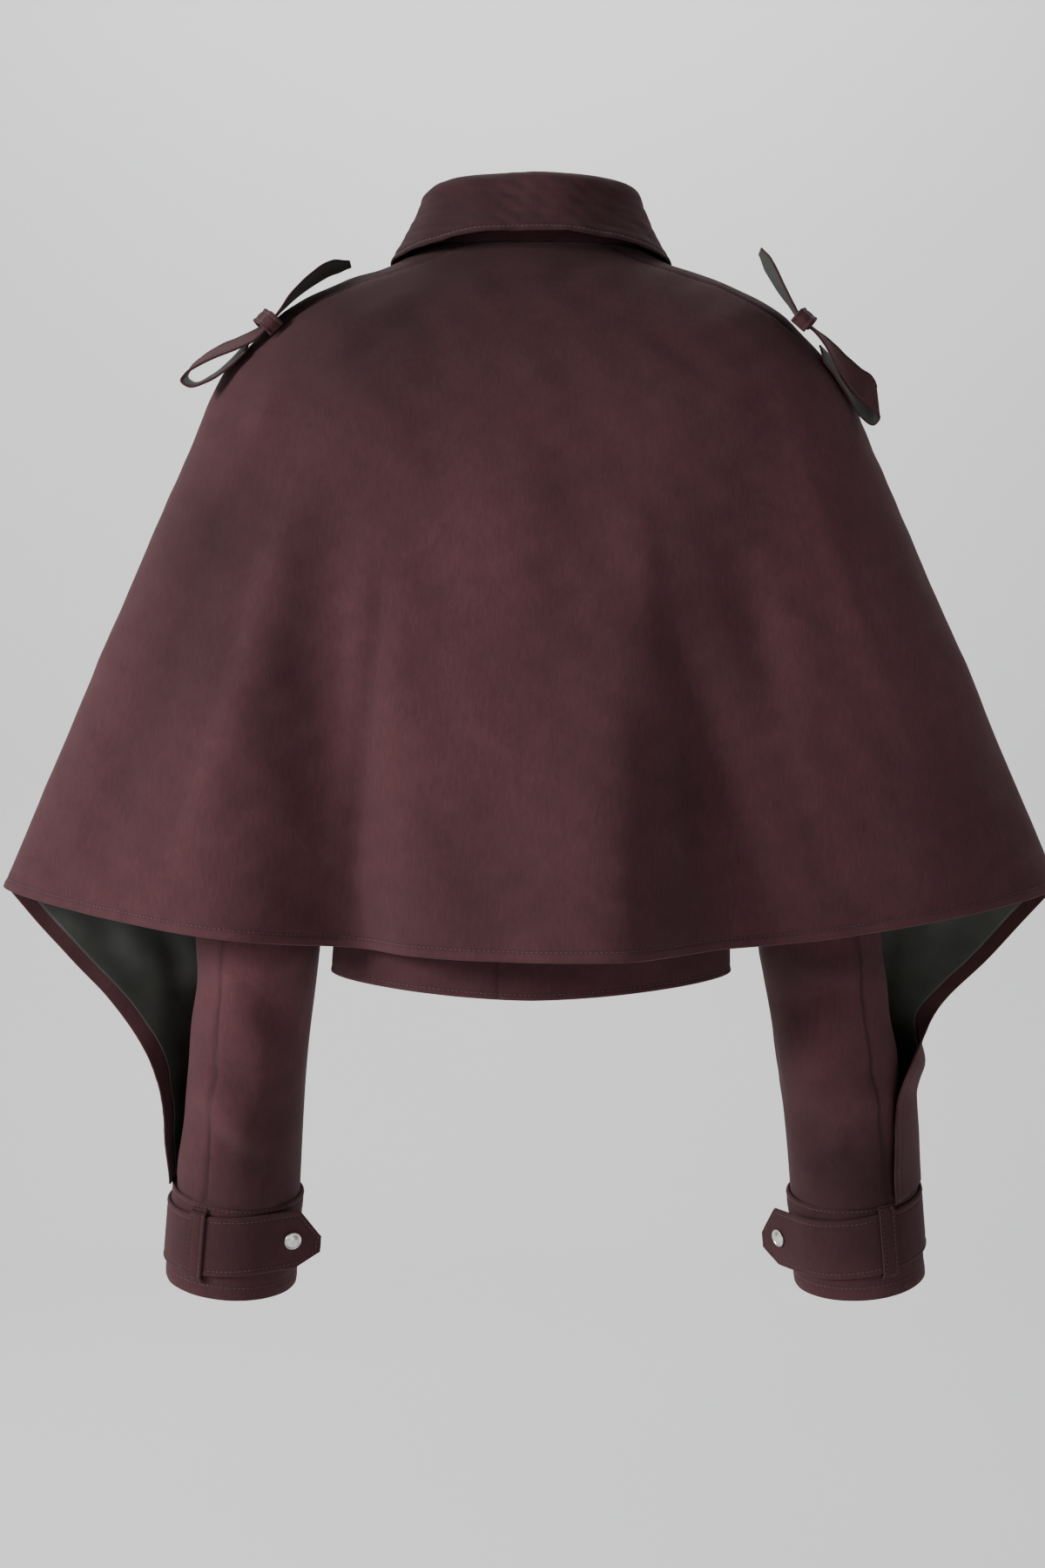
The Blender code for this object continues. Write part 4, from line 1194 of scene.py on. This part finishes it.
def epaulette_line(side, count):
    """Points along the strip's middle with the roll there, evenly spaced."""
    rows = np.array(EPAULETTE[side], float)
    shares = np.linspace(0.0, 1.0, 600)
    keys = lengths(rows[:, :2])
    points = path(rows[:, :2], shares)
    rolls = curve(np.column_stack([keys, rows[:, 2]]), shares * keys[-1])
    run = lengths(points)
    wanted = np.linspace(0.0, run[-1], count)
    return np.column_stack([np.interp(wanted, run, part) for part in (*points.T, rolls[:, 0])])


def epaulette_grid(side, rows, columns):
    line = epaulette_line(side, columns)
    narrow = 0.5 * EPAULETTE_WIDTH * (0.45 + 0.55 * ease(lengths(line[:, :2]) / EPAULETTE_TAPER))
    turn = np.radians(line[:, 2])
    found = []
    for part in rows:
        across = part * narrow
        y = EPAULETTE_Y + across * np.cos(turn)
        found.append(np.column_stack([line[:, 0], y, line[:, 1] + across * np.sin(turn)]))
    return np.array(found)


def keeper_grid(side, rows, columns):
    """An arch over the strip, sewn to the shoulder in front of it and behind it."""
    line = epaulette_line(side, 120)
    at = int(np.argmin(np.abs(line[:, 0] - KEEPER_X[side])))
    run = unit(line[at + 2, :2] - line[at - 2, :2])
    up = np.array([-run[1], run[0]])
    up *= math.copysign(1.0, up[1])
    roll = math.radians(line[at, 2])
    half = 0.5 * EPAULETTE_WIDTH + KEEPER_SPARE
    profile = [
        (-half, -0.0030),
        (-half, -0.0016),
        (-half, 0.0026),
        (-half + 0.0020, 0.0048),
        (0.0, 0.0054),
        (half - 0.0020, 0.0048),
        (half, 0.0026),
        (half, -0.0016),
        (half, -0.0030),
    ]
    arch = sample(path(profile, np.linspace(0.0, 1.0, 200)), columns)
    found = []
    for share in rows:
        base = line[at, :2] + run * share * KEEPER_LENGTH
        high = arch[:, 1] * math.cos(roll) + arch[:, 0] * math.sin(roll)
        y = EPAULETTE_Y + arch[:, 0] * math.cos(roll) - arch[:, 1] * math.sin(roll)
        found.append(np.column_stack([base[0] + up[0] * high, y, base[1] + up[1] * high]))
    return np.array(found)


# ---------------------------------------------------------------- building the panels


def cape():
    grid = cape_grid(far_end(150), both_ends(236))
    x, z = grid[..., 0], grid[..., 2]
    hem, sides = edge_distance(grid, "bottom"), edge_distance(grid, "first", "last")
    free = ease(sides / 0.040) * fade(grid, top=0.030)
    height = (creases(x, z, CAPE_CREASES) + 0.0016 * ripple(x, z, 0.115, 3) * ease((-0.04 - z) / 0.2)) * free
    height += 0.00055 * ripple(x, z, 0.034, 5) * free
    press = hem_press(hem, HEM_STITCH, 0.00022 * ripple(x, z * 0.2, 0.011, 7))
    seam = SHOULDER_SEAM_IN + 0.0040 * (x > 0) + 0.08 * (z + 0.04)
    shoulder = ease((z + 0.068) / 0.010) * bell(sides - seam, 0.0022)
    # Painted light on ridges and the hem's puff, painted shade in troughs, in the hem's stitching groove and
    # along the shoulder seam's groove.
    painted_light = shade_of(height + 8.0 * press) - 0.45 * shoulder
    under = [sided("sleeve_under", side) for side in (1, -1)]
    face = panel("cape_back", raised(grid, height), "draped", under, LINING, press - 0.0013 * shoulder, painted_light)
    topstitch("cape_stitching", face, [("bottom", HEM_STITCH, (0.012, 0.988))])


def wing(side):
    grid = wing_rows(side, SLEEVE_ROWS, ARM_COLUMNS, 54)
    for k, z in enumerate(SLEEVE_ROWS):
        grid[k] = sleeve_tilt(grid[k], z, side)
    x, z = grid[..., 0], grid[..., 2]
    edge = edge_distance(grid, "last")
    free = fade(grid, first=0.03, top=0.03, bottom=0.02) * np.where(z > TIP_Z, ease(edge / 0.03), 1.0)
    height = (creases(x, z, ARM_CREASES + WING_CREASES) + 0.0007 * ripple(x, z, 0.05, 11 + side)) * free
    grid = raised(grid, height)
    press = hem_press(edge, HEM_STITCH, 0.00018 * ripple(x, z, 0.011, 13))
    press *= ease((TIP_Z + 0.004 - z) / 0.006)
    # Painted light on ridges and painted shade in troughs.
    relief = flipped(press, side), flipped(shade_of(height), side)
    under = [sided("sleeve_under", side)]
    face = panel(sided("wing_front", side), mirrored(grid, side), "draped", under, PLAIN_SUEDE, *relief)
    hem = ("last" if side > 0 else "first", HEM_STITCH, (0.57, 0.985))
    topstitch(sided("wing_stitching", side), face, [hem])
    return grid


def wing_lining(side, front):
    """Lining inside the wing, from the front's own points moved inwards: to the facing, not to the edge."""
    rows = slice(LINING_ROW, len(front) - 1)
    inner = (front - normals_of(front) * LINING_CLEAR)[rows, ARM_COLUMNS - 1:]
    kept = []
    for row in inner:
        total = lengths(row)[-1]
        kept.append(sample(row, np.linspace(0.0008, max(total - FACING, 0.003), 44) / total))
    grid = np.array(kept)
    waves = 0.0006 * ripple(grid[..., 0], grid[..., 2], 0.028, 21 + side) - 0.0006
    grid = mirrored(raised(grid, np.minimum(waves, 0.0)), side)
    # Painted shade over the left wing's lining, painted light over the right one's.
    look = {"painted_light": LINING_PAINTED_LIGHT[side], "cloth": LINING_CLOTH, "outward": -1.0}
    panel(sided("lining_wing", side), grid, "draped", [sided("wing_front", side)], LINING, **look)


def under_sleeve(side):
    heights = np.linspace(UNDER_TOP_Z, CUFF_SEAM_Z, 130)
    grid = np.array([sleeve_tilt(under_row(z, side, np.linspace(0.0, 1.0, 74)), z, side) for z in heights])
    x, z = grid[..., 0], grid[..., 2]
    free = ease(edge_distance(grid, "first", "last") / 0.018) * fade(grid, bottom=0.012)
    shift = 0.0 if side > 0 else RIGHT_CREASES_OUT
    height = (creases(x - shift, z, ARM_CREASES) + 0.0012 * ripple(x, z, 0.055, 31 + side)) * free
    middle = np.array([arm_section(z_here, side)[:3] for z_here in heights])
    seam = bell(x - middle[:, 0:1] - 0.42 * middle[:, 2:3], 0.0013) * (grid[..., 1] > middle[:, 1:2] + 0.01)
    height = height - 0.0009 * seam
    # Painted light on ridges, and painted shade in troughs and along the seam's groove.
    painted_light = flipped(shade_of(height) - 0.50 * seam, side)
    under = [sided("wing_front", side)]
    grid = mirrored(raised(grid, height), side)
    panel(sided("sleeve_under", side), grid, "hung", under, PLAIN_SUEDE, painted_light=painted_light)


def body_back():
    grid = body_back_grid(np.linspace(0.0, 1.0, 64), both_ends(120, 0.4))
    x, z = grid[..., 0], grid[..., 2]
    free = ease(edge_distance(grid, "first", "last") / 0.03) * fade(grid, bottom=0.03, top=0.04)
    height = (creases(x, z, BODY_CREASES) + 0.0012 * ripple(x, z, 0.09, 41)) * free
    # Painted light on ridges and painted shade in troughs.
    panel("body_back", raised(grid, height), "hung", ["hem_band"], LINING, painted_light=shade_of(height))


def body_front(side):
    grid = body_front_grid(side, np.linspace(0.0, 1.0, 90), both_ends(84, 0.5))
    x, z = grid[..., 0], grid[..., 2]
    free = fade(grid, first=0.05, last=0.03, bottom=0.03, top=0.04)
    height = (creases(x, z, BODY_CREASES) + 0.0010 * ripple(x, z, 0.08, 51 + side)) * free
    press = hem_press(edge_distance(grid, "first"), HEM_STITCH)
    # Painted light on ridges and painted shade in troughs.
    relief = flipped(press, side), flipped(shade_of(height), side)
    grid = mirrored(raised(grid, height), side)
    face = panel(sided("body_front", side), grid, "hung", ["hem_band"], LINING, *relief)
    edge = "first" if side > 0 else "last"
    topstitch(sided("front_stitching", side), face, [(edge, HEM_STITCH, (0.03, 0.99))])


def hem_band():
    grid = hem_band_grid(both_ends(22, 0.6), np.linspace(0.0, 1.0, 330))
    x, z = grid[..., 0], grid[..., 2]
    puckers = 0.00020 * ripple(x, z * 0.2, 0.010, 61)
    press = hem_press(edge_distance(grid, "bottom"), EDGE_STITCH, puckers)
    press += hem_press(edge_distance(grid, "top"), LOOP_STITCH, puckers)
    press += 0.0004 * ripple(x, z, 0.03, 62) * ease(edge_distance(grid, "first", "last") / 0.01)
    joint = bell(x - BAND_JOINT_X, 0.0012) * (grid[..., 1] > 0)
    # Painted light on the stitching's puffs, painted shade in its grooves and in the joint's groove.
    painted_light = shade_of(press * 6) - 0.30 * joint
    face = panel("hem_band", grid, "hung", ["body_back"], PLAIN_SUEDE, press - 0.0006 * joint, painted_light)
    rows = [(edge, stitch, (0.01, 0.99)) for edge, stitch in (("bottom", EDGE_STITCH), ("top", LOOP_STITCH))]
    topstitch("band_stitching", face, rows)


def collar():
    stand = stand_grid(np.linspace(0.0, 1.0, 14), np.linspace(172.0, -172.0, 170))
    panel("collar_stand", stand, "hung", ["cape_back"], PLAIN_SUEDE)
    grid = fall_grid(both_ends(56, 0.6), np.linspace(170.0, -170.0, 250))
    x, y = grid[..., 0], grid[..., 1]
    near, ends = edge_distance(grid, "bottom", "first", "last"), edge_distance(grid, "first", "last")
    height = 0.0010 * ripple(x * 1.2, y, 0.05, 71) + 0.0004 * ripple(x, grid[..., 2] * 2, 0.018, 72)
    height *= fade(grid, top=0.02)
    press = hem_press(near, EDGE_STITCH, 0.00018 * ripple(x, y, 0.010, 73))
    grid = raised(grid, height * ease(ends / 0.01))
    # Painted light on ridges and painted shade in troughs.
    face = panel("collar_fall", grid, "folded", ["collar_stand"], PLAIN_SUEDE, press, shade_of(height * 2))
    rows = [("bottom", EDGE_STITCH, (0.014, 0.986))]
    rows += [(edge, EDGE_STITCH, (0.25, 0.97)) for edge in ("first", "last")]
    topstitch("collar_stitching", face, rows)


def cuff(side):
    turns = np.linspace(0.0, 360.0, 132, endpoint=False)
    drops = both_ends(30, 0.6) * CUFF_HEIGHT
    grid = np.array([cuff_points(side, turns, CUFF_RADIUS, drop) for drop in drops])
    angle, down = np.meshgrid(np.radians(turns), drops)
    foot, top = edge_distance(grid, "bottom"), edge_distance(grid, "top")
    press = hem_press(foot, CUFF_STITCH) + hem_press(top, CUFF_TOP_STITCHES[0])
    press += 0.0003 * ripple(angle * 0.05, down, 0.03, 81 + side)
    press -= 0.0005 * bell(top - CUFF_TOP_STITCHES[1], 0.0012)
    press = flipped(press, side)
    # Painted light on the stitching's puffs and painted shade in its grooves.
    look = {"press": press, "painted_light": shade_of(press * 4), "cloth": DOUBLE_CLOTH, "closed": True}
    grid, under = mirrored(grid, side), [sided("sleeve_under", side)]
    face = panel(sided("cuff", side), grid, "hung", under, PLAIN_SUEDE, **look)
    lines = [inset(*face, "bottom", CUFF_STITCH)]
    lines += [inset(*face, "top", distance) for distance in CUFF_TOP_STITCHES]
    sew(sided("cuff_stitching", side), [np.vstack([line, line[:1]]) for line in lines])


def strip(node, sewing, grid, held, rests_on, inner, edges, rows, waves=0.0, depth=4, **build):
    """A narrow piece, pressed in along these edges and topstitched. rows are as in topstitch."""
    press = hem_press(edge_distance(grid, *edges), rows[0][1], waves)
    # Painted light on the stitching's puffs and painted shade in its grooves.
    face = panel(node, grid, held, rests_on, inner, press, shade_of(press * depth), **build)
    topstitch(sewing, face, rows)


def strap(side):
    grid = mirrored(strap_grid(side, both_ends(26, 0.6), np.linspace(0.0, 1.0, 180)), side)
    waves = 0.00014 * ripple(grid[..., 0], grid[..., 1], 0.012, 91)
    rows = [(edge, EDGE_STITCH, (0.02, 0.985)) for edge in ("top", "bottom")]
    rows.append(("last" if side > 0 else "first", EDGE_STITCH, (0.16, 0.84)))
    names = sided("cuff_strap", side), sided("strap_stitching", side)
    edges = ("bottom", "top", "first", "last")
    strip(*names, grid, "folded", [sided("cuff", side)], LINING, edges, rows, waves, cloth=DOUBLE_CLOTH)
    loop = mirrored(carrier_grid(side, np.linspace(0.0, 1.0, 60), 14), side)
    rows = [(edge, LOOP_STITCH, (0.05, 0.95)) for edge in ("first", "last")]
    pair = sided("cuff_loop", side), sided("loop_stitching", side)
    strip(*pair, loop, "stretched", [names[0]], PLAIN_SUEDE, ("first", "last"), rows, depth=1)


def epaulette(side):
    grid = mirrored(epaulette_grid(side, 1 - 2 * both_ends(20, 0.6), 200), side)
    waves = 0.00016 * ripple(grid[..., 0], grid[..., 2], 0.012, 95)
    rows = [(edge, EDGE_STITCH, (0.02, 0.98)) for edge in ("top", "bottom")]
    names = sided("epaulette", side), sided("epaulette_stitching", side)
    edges = ("bottom", "top", "first" if side > 0 else "last")
    loop = sided("epaulette_loop", side)
    strip(*names, grid, "folded", [loop], LINING, edges, rows, waves, outward=0.0)
    arch = mirrored(keeper_grid(side, np.linspace(-0.5, 0.5, 16), np.linspace(0.0, 1.0, 70)), side)
    rows = [(edge, KEEPER_STITCH, (0.08, 0.92)) for edge in ("top", "bottom")]
    pair = loop, sided("keeper_stitching", side)
    strip(*pair, arch, "stretched", [names[0]], PLAIN_SUEDE, ("bottom", "top"), rows)


def snap(side):
    """A domed press stud cap with a rolled rim, turned about its own axis."""
    middle, face, away, down = snap_place(side)
    section = path(SNAP_SECTION, np.linspace(0.0, 1.0, 26))
    turns = np.linspace(0.0, 2 * math.pi, SNAP_SIDES, endpoint=False)
    radial = np.outer(np.cos(turns), away) + np.outer(np.sin(turns), down)
    rings = np.array([middle + radial * share * SNAP_RADIUS + face * height for share, height in section])
    index = np.arange(len(rings) * SNAP_SIDES).reshape(len(rings), SNAP_SIDES)
    beside = np.roll(index, -1, axis=1)
    faces = np.stack([index[:-1], beside[:-1], beside[1:], index[1:]], axis=-1).reshape(-1, 4).tolist()
    faces += [index[-1].tolist(), index[0, ::-1].tolist()]
    if (np.linalg.det(np.array([away, down, face])) < 0) != (side < 0):
        faces = [one[::-1] for one in faces]
    points = rings.reshape(-1, 3) * np.array([side, 1.0, 1.0])
    made = finish_piece(sided("cuff_snap", side) + "_cap", points, faces, [METAL], [0] * len(faces))
    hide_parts(sided("cuff_snap", side))


cape()
body_back()
hem_band()
collar()
for jacket_side in (1, -1):
    wing_lining(jacket_side, wing(jacket_side))
    under_sleeve(jacket_side)
    body_front(jacket_side)
    cuff(jacket_side)
    strap(jacket_side)
    epaulette(jacket_side)
    snap(jacket_side)

# ---------------------------------------------------------------- studio and camera
FLOOR_Z = -1.25
BEND = 0.9                # radius of the paper's bend from floor to backdrop
BEND_Y = -2.2             # where the bend starts
PAPER_REACH = 4.5
PAPER_SIDE = 6.0


def studio_paper():
    """A pale floor that curves up into a backdrop beyond the jacket's front."""
    made, tree, shader = new_material("studio_paper")
    soft = ramp(tree, noise(tree, 1.5, 2.0, 0.5), [(0.0, 0.80), (1.0, 0.84)])
    fill(tree, shader, {"Base Color": soft, "Roughness": 0.9})
    turns = np.linspace(0.0, math.pi / 2, 24)
    bend = [(BEND_Y - BEND * math.sin(a), FLOOR_Z + BEND - BEND * math.cos(a)) for a in turns]
    line = [(PAPER_REACH, FLOOR_Z), *bend, (BEND_Y - BEND, PAPER_REACH)]
    points = [(x, y, z) for y, z in line for x in (-PAPER_SIDE, PAPER_SIDE)]
    faces = [(2 * k, 2 * k + 1, 2 * k + 3, 2 * k + 2) for k in range(len(line) - 1)]
    mesh = bpy.data.meshes.new("studio_paper")
    mesh.from_pydata(points, [], faces)
    mesh.shade_smooth()
    mesh.materials.append(made)
    sweep = bpy.data.objects.new("studio_paper", mesh)
    bpy.context.collection.objects.link(sweep)


def softbox(name, place, target, size, watts):
    light = bpy.data.lights.new(name, "AREA")
    light.shape = "RECTANGLE"
    light.size, light.size_y = size
    light.energy = watts
    made = bpy.data.objects.new(name, light)
    bpy.context.collection.objects.link(made)
    way = np.array(target) - np.array(place)
    made.location = place
    made.rotation_euler = (
        math.atan2(math.hypot(way[0], way[1]), -way[2]),
        0.0,
        math.atan2(-way[0], way[1]),
    )


def studio():
    studio_paper()
    softbox("key", (2.3, 1.15, 0.35), (0.0, 0.0, -0.35), (0.8, 0.8), 100.0)
    softbox("fill", (-1.2, 2.4, -0.9), (0.0, 0.0, -0.4), (1.6, 1.6), 19.0)
    softbox("top", (0.0, -0.2, 2.2), (0.0, 0.0, -0.4), (1.6, 1.6), 5.0)
    softbox("backdrop_light", (0.0, -1.3, 2.4), (0.0, -3.0, -0.3), (3.0, 1.0), 78.0)
    world = bpy.data.worlds.new("studio_air")
    world.use_nodes = True
    air = world.node_tree.nodes["Background"]
    fill(world.node_tree, air, {"Color": (0.90, 0.92, 0.95, 1.0), "Strength": 0.40})
    bpy.context.scene.world = world


def camera():
    """Level with the middle of the cape and behind the jacket, as it was photographed."""
    lens = bpy.data.cameras.new("photo_view")
    lens.sensor_fit = "VERTICAL"
    lens.sensor_height = 36.0
    lens.lens = 49.2
    made = bpy.data.objects.new("photo_view", lens)
    made.location = (0.0065, 1.6, -0.39)
    made.rotation_euler = (math.radians(90.0), 0.0, math.radians(180.0))
    bpy.context.collection.objects.link(made)
    bpy.context.scene.camera = made


studio()
camera()
